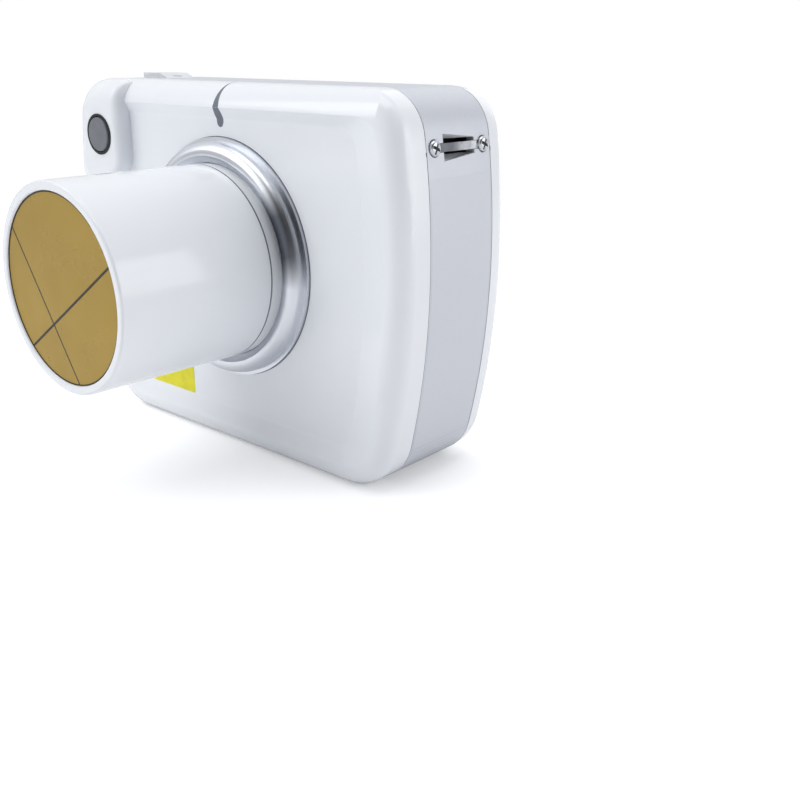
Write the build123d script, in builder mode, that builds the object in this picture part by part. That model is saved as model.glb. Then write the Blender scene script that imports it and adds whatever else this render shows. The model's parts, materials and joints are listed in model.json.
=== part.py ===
"""Hand-held intraoral x-ray unit with a long cone.

Millimetres. +Z is up, the beam leaves towards -Y, and +X is to the right for
someone who looks at the cone. The origin is the mouth of the tripod thread, in
the middle of the flat base.
"""
from build123d import *
from math import sqrt
import os

os.makedirs("parts", exist_ok=True)

# Body outline, seen along the beam
body_width = 155.8
body_height = 121.3
widest_drop = 51.1
side_radius = 250.0
top_corner = 15.0
bottom_corner = 18.5

# Depths along the beam
band_depth = 30.5
front_depth = 10.6
rear_depth = 10.4
front_round = 6.0
top_round = 9.5
rear_round = 8.0
rear_taper = 1.2

# Walls and seams
shell_wall = 2.4
band_wall = 2.8
lip_depth = 1.8
lip_wall = 1.2
lip_clearance = 0.15
seam_chamfer = 0.35

# Raised rim round the dished front face
dish_depth = 2.0
rim_crest = 1.0
slope_side = 9.5
slope_top = 4.0
slope_base = 5.5
slope_corner = 6.0
slope_round = 2.2

# Cone, its base and the collar
beam_drop = 55.7
cone_radius = 31.0
cone_base_radius = 31.4
cone_length = 61.75
base_length = 8.55
port_radius = 24.0
port_clearance = 0.2
seat_clearance = 0.15
flange_radius = 35.0
flange_thickness = 2.4
spigot_length = 7.0
spigot_wall = 2.0
window_radius = 28.0
window_thickness = 1.2
window_recess = 0.7
window_seat = 1.0
collar_radius = 39.2
collar_height = 6.6
collar_lip = 1.2
collar_step = 2.4
collar_crown = 0.55
collar_bead = 3.4
bead_bulge = 0.85
collar_cove = 2.2
cove_depth = 0.45
rim_edge = 0.8

# Sight mark over the top edge of the front shell
mark_width = 2.6
mark_depth = 0.8
mark_fill = 0.5
mark_drop = 12.0

# Trigger pod, at the upper left of the front shell
pod_side = 18.6
pod_drop = 18.7
pod_radius = 10.8
pod_reach = 16.6
pod_rise = 5.8
pod_roll = 8.5
pod_round = 3.0
trigger_radius = 5.8
trigger_clearance = 0.3
trigger_travel = 1.5
trigger_proud = 0.4
trigger_edge = 0.5
trigger_flange = 1.2
trigger_stem = 2.4
bezel_wall = 0.85
bezel_depth = 3.0
bezel_proud = 0.3
trigger_board_width = 14.0
trigger_board_height = 17.6
trigger_board_drop = 11.8
trigger_board_gap = 5.0
post_radius = 1.8

# Rear key panel and display
panel_width = 82.2
panel_drop = 17.7
panel_base = 35.8
panel_corner = 3.0
panel_thickness = 0.8
panel_sink = 0.3
panel_border = 3.0
panel_rise = 1.1
panel_round = 0.9
lcd_width = 55.2
lcd_height = 29.4
lcd_drop = 14.0
lcd_frame_wall = 0.9
lcd_corner = 1.2
lcd_frame_proud = 0.25
lcd_glass_sink = 0.4
lcd_border = 3.0
lcd_thickness = 4.2
fit_clearance = 0.2

# Two rubber keys under the panel
key_width = 25.2
key_height = 13.9
key_gap = 3.4
key_base = 8.2
key_corner = 2.0
key_clearance = 0.35
key_proud = 0.6
key_edge = 0.8
key_travel = 0.8
key_skirt = 1.2
key_skirt_thickness = 1.0
key_stem = 2.2
surround_width = 1.5
surround_rise = 0.8
surround_edge = 0.6
surround_root = 0.8

# Strap lugs in the sides of the band
lug_drop = 16.1
lug_length = 14.6
lug_opening = 7.6
lug_tail = 4.6
lug_depth = 6.4
lug_wall = 1.6
bar_width = 2.4
bar_thickness = 1.2
bar_recess = 0.1
screw_spacing = 23.0
screw_head = 2.3
screw_rise = 1.2
screw_round = 0.7
screw_shank = 1.4
screw_length = 7.0

# Cap over the charging inlet, on top of the band
inlet_side = 20.4
cap_outward = 9.0
cap_inward = 5.0
cap_depth = 12.0
cap_rise = 1.6
cap_slope = 4.0
cap_plug = 3.8
inlet_width = 9.0
inlet_depth = 11.0
inlet_length = 13.0
inlet_bore = 2.8
inlet_pin = 0.9
inlet_drop = 1.5
inlet_lip = 0.8
inlet_reach = 9.0

# Tripod insert, quarter-inch thread
thread_diameter = 6.35
thread_depth = 7.0
insert_radius = 5.5
insert_height = 8.4
boss_wall = 3.0

# X-ray tank behind the collar
tank_side_gap = 3.15
tank_base = 17.0
tank_above = 17.4
tank_wall = 2.2
tank_gap = 1.5
tank_depth = 27.0
tank_corner = 4.0
cover_thickness = 2.0
tube_radius = 11.5
tube_end_gap = 3.8
tube_glass = 1.2
glass_round = 2.4
tube_neck = 6.0
tube_neck_length = 6.0
tube_gap = 0.9
anode_radius = 7.0
electrode_gap = 11.6
anode_slope = 20.0
cathode_radius = 6.0
cathode_length = 12.0
cathode_slot_length = 8.4
cathode_slot_width = 3.0
cathode_slot_depth = 2.0
filter_radius = 14.0
filter_thickness = 1.5
aperture_radius = 9.0
aperture_flare = 15.0
collimator_length = 7.0
core_width = 34.0
core_tube_gap = 10.6
core_depth = 15.0
core_limb = 5.0
coil_clearance = 0.3
coil_overhang = 3.0
hv_board_rise = 2.0
hv_board_depth = 20.0
board_thickness = 1.6

# Chassis, boards and batteries
chassis_side = 19.9
chassis_margin = 10.65
chassis_tray_gap = 1.15
chassis_corner = 8.0
chassis_gap = 0.5
chassis_thickness = 1.5
pad_inset = 9.0
pad_height = 15.0
pad_width = 9.0
pad_depth = 9.0
chassis_screw_radius = 1.5
chassis_screw_head = 2.8
chassis_screw_rise = 1.8
chassis_screw_length = 8.0
chassis_screw_inset = 2.8
standoff = 2.0
main_board_inset = 2.0
main_board_margin = 8.0
display_board_width = 75.0
display_board_drop = 18.3
display_board_base = 7.0
display_post_x = 34.0
display_post_low = 32.0
display_post_margin = 5.0
display_gap = 0.6
cell_radius = 9.2
cell_length = 65.0
cell_gap = 0.6
cell_side = 28.9
cell_base = 9.4
cell_clearance = 0.25
tray_wall = 1.4
tray_gap = 0.5
tray_height = 32.0
foot_width = 9.0
foot_depth = 20.0
foot_inset = 5.0
buzzer_radius = 6.0
buzzer_height = 3.0
buzzer_x = 20.0
buzzer_drop = 14.65
switch_size = 6.0
switch_height = 3.4
switch_plunger = 1.7
switch_plunger_height = 0.8
key_switch_height = 1.5
key_plunger_height = 0.5
end_play = 0.1

# Heights that follow the body's top
widest_height = body_height - widest_drop
beam_height = body_height - beam_drop
pod_height = body_height - pod_drop
lug_height = body_height - lug_drop
panel_height = body_height - panel_drop - panel_base
lcd_base = panel_base + panel_height - lcd_drop - lcd_height


def half_width_at(height):
    """Half of the body's width at a height, on its bowed side."""
    rise = height - widest_height
    return body_width / 2 - side_radius + sqrt(side_radius**2 - rise**2)


# Planes along the beam, worked out from the depths
front_seam = -band_depth / 2
rear_seam = band_depth / 2
front_face = front_seam - front_depth
rim_face = front_face - dish_depth
rear_face = rear_seam + rear_depth
front_ceiling = front_face + shell_wall
cone_end = front_face - cone_length
cone_joint = front_face - base_length
rear_ceiling = rear_face - shell_wall
pod_face = front_face - pod_rise
pod_x = pod_side - body_width / 2
pod_low = pod_height - pod_reach
inlet_x = inlet_side - body_width / 2
shell_inset = band_wall + lip_clearance + lip_wall
tray_half = cell_radius + cell_clearance + tray_wall
cell_x = body_width / 2 - cell_side
tank_half_width = cell_x - tray_half - tank_side_gap
tank_top = beam_height + tank_above
tank_front = front_ceiling + tank_gap
tank_rear = tank_front + tank_depth
chassis_face = tank_rear + cover_thickness + chassis_gap
chassis_height = body_height - 2 * chassis_margin
chassis_width = body_width - 2 * chassis_side
chassis_waist = 2 * (cell_x - tray_half - chassis_tray_gap)
chassis_top = chassis_margin + chassis_height
pad_x = chassis_waist / 2 - pad_inset
pad_bases = (band_wall / 2, body_height - pad_height - band_wall / 2)
screw_heights = (chassis_margin + chassis_screw_inset, chassis_top - chassis_screw_inset)
main_board_face = chassis_face + chassis_thickness + standoff
display_rear = rear_ceiling - lcd_thickness - display_gap
bezel_radius = trigger_radius + trigger_clearance + bezel_wall
bezel_seat = bezel_depth - bezel_proud
flange_bore = trigger_radius + trigger_flange + trigger_clearance
trigger_board_face = front_ceiling + trigger_board_gap
trigger_board_base = pod_height - trigger_board_drop
panel_floor = rear_face + panel_rise - panel_sink - panel_thickness
panel_face = panel_floor + panel_thickness
cone_bore = window_radius - window_seat
spigot_radius = cone_bore + spigot_wall
lug_wall_x = half_width_at(lug_height)
bar_face = lug_wall_x - bar_recess
key_spacing = key_width + key_gap
key_face = rear_face + surround_rise + key_proud
beam = Axis((0, 0, beam_height), (0, 1, 0))
# Left is towards -X on every piece, as seen by someone who looks at the cone
sides = {"left": -1, "right": 1}


def across(position):
    """Plane across the beam with its normal towards the cone; local y is Z."""
    return Plane.XZ.offset(-position)


def behind(position):
    """Plane across the beam with its normal away from the cone; local x is -X."""
    return Plane(origin=(0, position, 0), x_dir=(-1, 0, 0), z_dir=(0, 1, 0))


def body_profile(plane, side_inset=0.0, top_inset=None, base_inset=None, corner=None):
    """Body outline on a plane across the beam, drawn in from its sides and ends."""
    base = side_inset if base_inset is None else base_inset
    top = body_height - (side_inset if top_inset is None else top_inset)
    bow = side_radius - side_inset
    middle = body_width / 2 - side_radius
    top_x = middle + sqrt(bow**2 - (top - widest_height) ** 2)
    base_x = middle + sqrt(bow**2 - (widest_height - base) ** 2)
    wide_x = middle + bow
    top_round = corner if corner else top_corner - side_inset
    base_round = corner if corner else bottom_corner - side_inset
    with BuildSketch(plane) as profile:
        with BuildLine():
            ThreePointArc((base_x, base), (wide_x, widest_height), (top_x, top))
            Line((top_x, top), (-top_x, top))
            ThreePointArc((-top_x, top), (-wide_x, widest_height), (-base_x, base))
            Line((-base_x, base), (base_x, base))
        make_face()
        fillet(profile.vertices().group_by(Axis.Y)[-1], top_round)
        fillet(profile.vertices().group_by(Axis.Y)[0], base_round)
    return profile.sketch


def disc(plane, radius, x=0.0, height=beam_height):
    """Circle on a plane across the beam, x in the plane's own direction."""
    with BuildSketch(plane) as circle:
        with Locations((x, height)):
            Circle(radius)
    return circle.sketch


def block(plane, width, height, x=0.0, base=0.0, corner=0.0):
    """Rectangle on a plane, standing on a base line, with rounded corners if asked."""
    with BuildSketch(plane) as rectangle:
        with Locations((x, base + height / 2)):
            if corner:
                RectangleRounded(width, height, corner)
            else:
                Rectangle(width, height)
    return rectangle.sketch


def faces_at(part, position):
    """Flat faces across the beam that lie at a Y position."""
    flat = part.faces().filter_by(Axis.Y)
    return flat.filter_by(lambda face: abs(face.center().Y - position) < 0.01)


def finish(part, name):
    """Label a finished piece and write it as its own file."""
    part.label = name
    export_step(part, "parts/" + name + ".step")


# Front shell's outer form: a roll into the sides and a raised rim round a dished face
with BuildPart() as front_form:
    extrude(body_profile(across(front_seam)), amount=front_depth + dish_depth)
    fillet(faces_at(front_form, rim_face).edges(), front_round)
    slope_start = front_round + rim_crest
    rim_outline = body_profile(across(rim_face), slope_start)
    face_outline = body_profile(across(front_face), slope_start + slope_side,
                                slope_start + slope_top, slope_start + slope_base, slope_corner)
    loft([rim_outline.face(), face_outline.face()], ruled=True, mode=Mode.SUBTRACT)
    fillet(faces_at(front_form, front_face).edges(), slope_round)
    rim_edges = faces_at(front_form, rim_face).edges()
    fillet(rim_edges.filter_by(lambda edge: abs(edge.center().X) < half_width_at(widest_height)
                               - front_round - rim_crest / 2), slope_round)
    roll_start = rim_face + top_round
    with BuildSketch(Plane.YZ):
        with BuildLine():
            Line((rim_face, body_height - top_round), (rim_face, body_height))
            Line((rim_face, body_height), (roll_start, body_height))
            RadiusArc((roll_start, body_height), (rim_face, body_height - top_round), -top_round)
        make_face()
    extrude(amount=body_width, both=True, mode=Mode.SUBTRACT)


def skin_mark(depth_from, depth_to):
    """Tapered strip of the front form's skin over the top edge, between two depths."""
    low = body_height - mark_drop
    with BuildPart() as strip:
        add(front_form.part.moved(Location((0, depth_from, -depth_from / 2))))
        add(front_form.part.moved(Location((0, depth_to, -depth_to / 2))), mode=Mode.SUBTRACT)
        with BuildSketch(across(front_seam - 2 * mark_depth)):
            with BuildLine():
                Line((0, body_height), (mark_width / 2, low))
                ThreePointArc((mark_width / 2, low), (0, low - mark_width / 2), (-mark_width / 2, low))
                Line((-mark_width / 2, low), (0, body_height))
            make_face()
        extrude(amount=front_depth, mode=Mode.INTERSECT)
    return strip.part


# Trigger pod: the body's corner carried further forward, with its own roll
with BuildPart() as trigger_pod:
    extrude(body_profile(across(front_seam)), amount=front_seam - pod_face)
    fillet(faces_at(trigger_pod, pod_face).edges(), pod_roll)
    with BuildSketch(across(front_ceiling)):
        with Locations((pod_x + pod_radius, pod_low)):
            Rectangle(body_width, body_height, align=(Align.MAX, Align.MIN))
        fillet(vertices().sort_by(Axis.X)[-2:].sort_by(Axis.Y)[0], pod_radius)
    extrude(amount=front_ceiling - pod_face, mode=Mode.INTERSECT)
    pod_edges = faces_at(trigger_pod, pod_face).edges()
    fillet(pod_edges.filter_by(lambda edge: edge.center().X > pod_x + pod_radius / 2
                               or edge.center().Z < pod_low + 1), pod_round)


# Front shell: trigger pod, port, sight mark groove, hollow back and a lip for the band
with BuildPart() as front_shell:
    add(front_form.part)
    add(trigger_pod.part)
    extrude(body_profile(across(front_seam), shell_inset), amount=front_seam - front_ceiling,
            mode=Mode.SUBTRACT)
    with BuildSketch(across(front_seam)):
        add(body_profile(Plane.XY, band_wall + lip_clearance))
        add(body_profile(Plane.XY, shell_inset), mode=Mode.SUBTRACT)
    extrude(amount=-lip_depth)
    extrude(disc(across(front_ceiling), port_radius + port_clearance),
            amount=front_ceiling - front_face, mode=Mode.SUBTRACT)
    extrude(disc(across(pod_face), bezel_radius, pod_x, pod_height), amount=-bezel_seat,
            mode=Mode.SUBTRACT)
    extrude(disc(across(front_ceiling), flange_bore, pod_x, pod_height),
            amount=front_ceiling - pod_face - bezel_seat, mode=Mode.SUBTRACT)
    with BuildSketch(across(trigger_board_face)):
        with Locations((pod_x, trigger_board_base + post_radius)):
            with GridLocations(trigger_board_width - 2 * post_radius, 0, 2, 1):
                Circle(post_radius)
    extrude(amount=trigger_board_gap)
    add(skin_mark(0, mark_depth), mode=Mode.SUBTRACT)
finish(front_shell.part, "front_shell")

finish(skin_mark(mark_depth - mark_fill, mark_depth), "sight_mark")


# Middle band: bowed frame with strap pockets, chassis pads and the tripod boss
lug_block_depth = band_depth / 2 - lip_depth - 2 * lip_clearance
with BuildPart() as middle_band:
    extrude(body_profile(across(rear_seam)), amount=band_depth)
    seams = faces_at(middle_band, front_seam) + faces_at(middle_band, rear_seam)
    chamfer(seams.edges(), seam_chamfer)
    seam_depth = rear_seam - lug_block_depth
    for seam, depth in ((front_seam, -seam_depth), (rear_seam, seam_depth)):
        extrude(body_profile(across(seam), band_wall), amount=depth, mode=Mode.SUBTRACT)
    with BuildSketch(across(lug_block_depth)):
        add(body_profile(Plane.XY, band_wall))
        for side in sides.values():
            with Locations((side * (lug_wall_x - lug_depth - lug_wall), lug_height)):
                Rectangle(4 * lug_depth, lug_opening + 2 * lug_wall, mode=Mode.SUBTRACT,
                          align=(Align.MIN if side > 0 else Align.MAX, Align.CENTER))
    extrude(amount=2 * lug_block_depth, mode=Mode.SUBTRACT)
    for side in sides.values():
        outside = Plane.YZ.offset(side * (lug_wall_x + bar_thickness))
        with BuildSketch(outside):
            Polygon((-lug_length / 2, lug_height - lug_opening / 2),
                    (lug_length / 2, lug_height - lug_tail / 2),
                    (lug_length / 2, lug_height + lug_tail / 2),
                    (-lug_length / 2, lug_height + lug_opening / 2), align=None)
        extrude(amount=-side * (lug_depth + bar_thickness), mode=Mode.SUBTRACT)
        with BuildSketch(outside):
            with Locations((0, lug_height)):
                Rectangle(screw_spacing, bar_width + fit_clearance)
                with GridLocations(screw_spacing, 0, 2, 1):
                    Circle(screw_head + fit_clearance)
        extrude(amount=-side * (2 * bar_thickness + bar_recess), mode=Mode.SUBTRACT)
        with BuildSketch(outside):
            with Locations((0, lug_height)):
                with GridLocations(screw_spacing, 0, 2, 1):
                    Circle(screw_shank)
        extrude(amount=-side * (screw_length + bar_recess + bar_thickness), mode=Mode.SUBTRACT)
    for base, height in zip(pad_bases, screw_heights):
        for x in (-pad_x, pad_x):
            extrude(block(across(chassis_face), pad_width, pad_height, x, base), amount=pad_depth)
            extrude(disc(across(chassis_face), chassis_screw_radius, x, height),
                    amount=chassis_screw_length - chassis_thickness, mode=Mode.SUBTRACT)
    with BuildSketch(Plane.XY.offset(band_wall / 2)):
        Circle(insert_radius + boss_wall)
    extrude(amount=insert_height)
    with BuildSketch(Plane.XY):
        Circle(insert_radius)
    extrude(amount=insert_height, mode=Mode.SUBTRACT)
    with BuildSketch(Plane.XY.offset(body_height)):
        with Locations((inlet_x, 0)):
            Circle(cap_plug + fit_clearance / 2)
    extrude(amount=-2 * band_wall, mode=Mode.SUBTRACT)
finish(middle_band.part, "middle_band")


# Rear shell: drafted back with the panel frame, display window and key surround
with BuildPart() as rear_shell:
    loft([body_profile(behind(rear_seam)).face(),
          body_profile(behind(rear_face), rear_taper).face()], ruled=True)
    fillet(faces_at(rear_shell, rear_face).edges(), rear_round)
    extrude(block(behind(rear_face), panel_width + 2 * panel_border, panel_height + 2 * panel_border,
                  0, panel_base - panel_border, panel_corner + panel_border), amount=panel_rise)
    fillet(faces_at(rear_shell, rear_face + panel_rise).edges(), panel_round)
    surround = 2 * (key_clearance + surround_width)
    extrude(block(behind(rear_face - surround_root), key_width + key_spacing + surround,
                  key_height + surround, 0, key_base - surround / 2, key_corner + surround / 2),
            amount=surround_root + surround_rise)
    chamfer(faces_at(rear_shell, rear_face + surround_rise).edges(), surround_edge)
    hollow_taper = rear_taper * (rear_ceiling - rear_seam) / rear_depth
    loft([body_profile(behind(rear_seam), shell_inset).face(),
          body_profile(behind(rear_ceiling), shell_inset + hollow_taper).face()], ruled=True,
         mode=Mode.SUBTRACT)
    extrude(block(behind(rear_face + panel_rise), panel_width + 2 * fit_clearance,
                  panel_height + 2 * fit_clearance, 0, panel_base - fit_clearance, panel_corner),
            amount=-panel_sink - panel_thickness, mode=Mode.SUBTRACT)
    extrude(block(behind(rear_ceiling), lcd_width + 2 * fit_clearance, lcd_height + 2 * fit_clearance,
                  0, lcd_base - fit_clearance, lcd_corner), amount=shell_wall, mode=Mode.SUBTRACT)
    for x in (-key_spacing / 2, key_spacing / 2):
        extrude(block(behind(rear_ceiling), key_width + 2 * key_clearance,
                      key_height + 2 * key_clearance, x, key_base - key_clearance,
                      key_corner + key_clearance),
                amount=shell_wall + surround_rise, mode=Mode.SUBTRACT)
    with BuildSketch(behind(rear_seam)):
        add(body_profile(Plane.XY, band_wall + lip_clearance))
        add(body_profile(Plane.XY, shell_inset), mode=Mode.SUBTRACT)
    extrude(amount=-lip_depth)
    display_board_height = body_height - display_board_drop - display_board_base
    display_post_high = display_board_base + display_board_height - display_post_margin
    with BuildSketch(behind(display_rear)):
        with Locations((0, (display_post_low + display_post_high) / 2)):
            with GridLocations(2 * display_post_x, display_post_high - display_post_low, 2, 2):
                Circle(post_radius)
    extrude(amount=rear_ceiling - display_rear)
finish(rear_shell.part, "rear_shell")


# Cone base, clamped to the dished face by the collar
with BuildPart() as cone_base:
    with BuildSketch(Plane.YZ):
        with BuildLine():
            Polyline((front_face, beam_height + spigot_radius + seat_clearance),
                     (front_face, beam_height + flange_radius),
                     (front_face - flange_thickness, beam_height + flange_radius),
                     (front_face - flange_thickness, beam_height + cone_base_radius),
                     (cone_joint, beam_height + cone_base_radius),
                     (cone_joint, beam_height + spigot_radius + seat_clearance), close=True)
        make_face()
    revolve(axis=beam)
    chamfer(faces_at(cone_base, cone_joint).edges().sort_by(SortBy.LENGTH)[-1], seam_chamfer)
finish(cone_base.part, "cone_base")


# Cone tube, with a spigot in its base and a seat for the window
with BuildPart() as cone_tube:
    seat = cone_end + window_recess + window_thickness
    with BuildSketch(Plane.YZ):
        with BuildLine():
            Polyline((cone_joint + spigot_length, beam_height + cone_bore),
                     (cone_joint + spigot_length, beam_height + spigot_radius),
                     (cone_joint, beam_height + spigot_radius),
                     (cone_joint, beam_height + cone_base_radius),
                     (cone_end, beam_height + cone_radius),
                     (cone_end, beam_height + window_radius + seat_clearance),
                     (seat, beam_height + window_radius + seat_clearance),
                     (seat, beam_height + cone_bore), close=True)
        make_face()
    revolve(axis=beam)
    chamfer(faces_at(cone_tube, cone_joint).edges().sort_by(SortBy.LENGTH)[-1], seam_chamfer)
    fillet(faces_at(cone_tube, cone_end).edges(), rim_edge)
finish(cone_tube.part, "cone_tube")

with BuildPart() as cone_window:
    extrude(disc(across(cone_end + window_recess + window_thickness), window_radius),
            amount=window_thickness)
finish(cone_window.part, "cone_window")


# Collar: thin lip, polished bead and an inner cove
with BuildPart() as collar_ring:
    under = front_face - flange_thickness - seat_clearance
    crest = front_face - collar_height
    inner = beam_height + cone_base_radius + seat_clearance
    outer = beam_height + collar_radius
    with BuildSketch(Plane.YZ):
        with BuildLine():
            Polyline((front_face, outer), (front_face, beam_height + flange_radius + seat_clearance),
                     (under, beam_height + flange_radius + seat_clearance), (under, inner),
                     (crest + collar_cove, inner))
            ThreePointArc((crest + collar_cove, inner),
                          (crest + collar_cove - cove_depth, inner + collar_cove / 2),
                          (crest + collar_crown, inner + collar_cove))
            ThreePointArc((crest + collar_crown, inner + collar_cove),
                          (crest + bead_bulge, outer - collar_bead),
                          (front_face - collar_step, outer - collar_lip))
            Polyline((front_face - collar_step, outer - collar_lip),
                     (front_face - collar_lip, outer - collar_lip),
                     (front_face - collar_lip, outer), (front_face, outer))
        make_face()
    revolve(axis=beam)
finish(collar_ring.part, "collar_ring")


# Lead collimator in the port and the aluminium filter behind it
with BuildPart() as collimator:
    with BuildSketch(Plane.YZ):
        with BuildLine():
            Polyline((tank_front, beam_height + aperture_radius),
                     (tank_front, beam_height + port_radius),
                     (tank_front - collimator_length, beam_height + port_radius),
                     (tank_front - collimator_length, beam_height + aperture_flare), close=True)
        make_face()
    revolve(axis=beam)
finish(collimator.part, "collimator")

with BuildPart() as beam_filter:
    extrude(disc(across(tank_front + filter_thickness), filter_radius), amount=filter_thickness)
finish(beam_filter.part, "beam_filter")


# Trigger: bezel, sprung cap, switch and its board
with BuildPart() as trigger_bezel:
    extrude(disc(across(pod_face + bezel_seat), bezel_radius, pod_x, pod_height), amount=bezel_depth)
    extrude(disc(across(pod_face + bezel_seat), trigger_radius + trigger_clearance, pod_x, pod_height),
            amount=bezel_depth, mode=Mode.SUBTRACT)
finish(trigger_bezel.part, "trigger_bezel")

trigger_flange_face = pod_face + bezel_seat + end_play
trigger_flange_back = trigger_flange_face + trigger_flange
plunger_tip = trigger_board_face - switch_height - switch_plunger_height
trigger_stem_tip = plunger_tip - trigger_travel - end_play
trigger_tip = pod_face - bezel_proud - trigger_proud
with BuildPart() as trigger_button:
    extrude(disc(across(trigger_flange_back), trigger_radius, pod_x, pod_height),
            amount=trigger_flange_back - trigger_tip)
    fillet(faces_at(trigger_button, trigger_tip).edges(), trigger_edge)
    extrude(disc(across(trigger_flange_back), flange_bore - trigger_clearance, pod_x, pod_height),
            amount=trigger_flange)
    extrude(disc(across(trigger_stem_tip), trigger_stem, pod_x, pod_height),
            amount=trigger_stem_tip - trigger_flange_back)
finish(trigger_button.part, "trigger_button")

with BuildPart() as trigger_switch:
    extrude(block(across(trigger_board_face), switch_size, switch_size, pod_x,
                  pod_height - switch_size / 2), amount=switch_height)
    extrude(disc(across(trigger_board_face - switch_height), switch_plunger, pod_x, pod_height),
            amount=switch_plunger_height)
finish(trigger_switch.part, "trigger_switch")

with BuildPart() as trigger_board:
    extrude(block(across(trigger_board_face), trigger_board_width, trigger_board_height, pod_x,
                  trigger_board_base), amount=-board_thickness)
finish(trigger_board.part, "trigger_board")


# Key panel, display frame and display module
with BuildPart() as key_panel:
    extrude(block(behind(panel_floor), panel_width, panel_height, 0, panel_base, panel_corner),
            amount=panel_thickness)
    extrude(block(behind(panel_floor), lcd_width + 2 * fit_clearance, lcd_height + 2 * fit_clearance,
                  0, lcd_base - fit_clearance, lcd_corner), amount=panel_thickness,
            mode=Mode.SUBTRACT)
finish(key_panel.part, "key_panel")

lcd_front = panel_face + lcd_frame_proud
glass_width = lcd_width - 2 * lcd_frame_wall
glass_height = lcd_height - 2 * lcd_frame_wall
glass_base = lcd_base + lcd_frame_wall
with BuildPart() as lcd_frame:
    extrude(block(behind(rear_ceiling), lcd_width, lcd_height, 0, lcd_base, lcd_corner),
            amount=lcd_front - rear_ceiling)
    extrude(block(behind(rear_ceiling), glass_width, glass_height, 0, glass_base),
            amount=lcd_front - rear_ceiling, mode=Mode.SUBTRACT)
finish(lcd_frame.part, "lcd_frame")

with BuildPart() as lcd_module:
    extrude(block(behind(rear_ceiling), lcd_width + 2 * lcd_border, lcd_height + 2 * lcd_border,
                  0, lcd_base - lcd_border), amount=-lcd_thickness)
    extrude(block(behind(rear_ceiling), glass_width - fit_clearance, glass_height - fit_clearance,
                  0, glass_base + fit_clearance / 2),
            amount=lcd_front - lcd_glass_sink - rear_ceiling)
finish(lcd_module.part, "lcd_module")


# Rubber keys, their switches and the display board
key_root = rear_ceiling - end_play
key_plunger_tip = display_rear + key_switch_height + key_plunger_height
key_middle = key_base + key_height / 2
for name, side in sides.items():
    x = -side * key_spacing / 2
    with BuildPart() as rear_key:
        extrude(block(behind(key_root), key_width, key_height, x, key_base, key_corner),
                amount=key_face - key_root)
        fillet(faces_at(rear_key, key_face).edges(), key_edge)
        extrude(block(behind(key_root), key_width + 2 * key_skirt, key_height + 2 * key_skirt, x,
                      key_base - key_skirt, key_corner + key_skirt), amount=-key_skirt_thickness)
        extrude(disc(behind(key_plunger_tip + key_travel + end_play), key_stem, x, key_middle),
                amount=key_root - key_plunger_tip - key_travel - end_play)
    finish(rear_key.part, "rear_key_" + name)
    with BuildPart() as key_switch:
        extrude(block(behind(display_rear), switch_size, switch_size, x,
                      key_middle - switch_size / 2), amount=key_switch_height)
        extrude(disc(behind(display_rear + key_switch_height), switch_plunger, x, key_middle),
                amount=key_plunger_height)
    finish(key_switch.part, "key_switch_" + name)

with BuildPart() as display_board:
    extrude(block(behind(display_rear), display_board_width, display_board_height, 0,
                  display_board_base), amount=-board_thickness)
finish(display_board.part, "display_board")


# Strap bars and their pan-head screws, one pair on each side of the band
screw_number = 0
for name, side in sides.items():
    with BuildPart() as strap_bar:
        with BuildSketch(Plane.YZ.offset(side * bar_face)):
            with Locations((0, lug_height)):
                Rectangle(screw_spacing, bar_width)
                with GridLocations(screw_spacing, 0, 2, 1):
                    Circle(screw_head)
                    Circle(screw_shank, mode=Mode.SUBTRACT)
        extrude(amount=-side * bar_thickness)
    finish(strap_bar.part, "strap_bar_" + name)
    for y in (-screw_spacing / 2, screw_spacing / 2):
        screw_number += 1
        with BuildPart() as strap_screw:
            with BuildSketch(Plane.YZ.offset(side * bar_face)):
                with Locations((y, lug_height)):
                    Circle(screw_head)
            extrude(amount=side * screw_rise)
            tip = strap_screw.faces().sort_by(Axis.X)[-1 if side > 0 else 0]
            fillet(tip.edges(), screw_round)
            with BuildSketch(Plane.YZ.offset(side * bar_face)):
                with Locations((y, lug_height)):
                    Circle(screw_shank)
            extrude(amount=-side * screw_length)
        finish(strap_screw.part, "strap_screw_" + str(screw_number))


# Rubber cap over the charging inlet, and the inlet under it
with BuildPart() as inlet_cap:
    with BuildSketch(across(cap_depth / 2)):
        with BuildLine():
            Polyline((inlet_x - cap_outward, body_height - top_corner),
                     (inlet_x - cap_outward, body_height + cap_rise),
                     (inlet_x + cap_inward - cap_slope, body_height + cap_rise),
                     (inlet_x + cap_inward, body_height),
                     (inlet_x + cap_inward, body_height - top_corner), close=True)
        make_face()
    extrude(amount=cap_depth)
    extrude(body_profile(across(rear_seam)), amount=band_depth, mode=Mode.SUBTRACT)
    with BuildSketch(Plane.XY.offset(body_height - band_wall)):
        with Locations((inlet_x, 0)):
            Circle(cap_plug)
    extrude(amount=band_wall + cap_rise / 2)
finish(inlet_cap.part, "inlet_cap")

inlet_top = body_height - band_wall - inlet_drop
with BuildPart() as dc_inlet:
    with BuildSketch(Plane.XY.offset(inlet_top)):
        with Locations((inlet_x, 0)):
            Rectangle(inlet_width, inlet_depth)
    extrude(amount=-inlet_length)
    with BuildSketch(Plane.XY.offset(inlet_top)):
        with Locations((inlet_x, 0)):
            Circle(inlet_bore + inlet_lip)
    extrude(amount=inlet_drop)
    with BuildSketch(Plane.XY.offset(inlet_top - inlet_reach)):
        with Locations((inlet_x, 0)):
            Circle(inlet_bore)
            Circle(inlet_pin, mode=Mode.SUBTRACT)
    extrude(amount=inlet_reach + inlet_drop, mode=Mode.SUBTRACT)
    extrude(body_profile(across(rear_seam), band_wall), amount=band_depth, mode=Mode.INTERSECT)
finish(dc_inlet.part, "dc_inlet")


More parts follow.
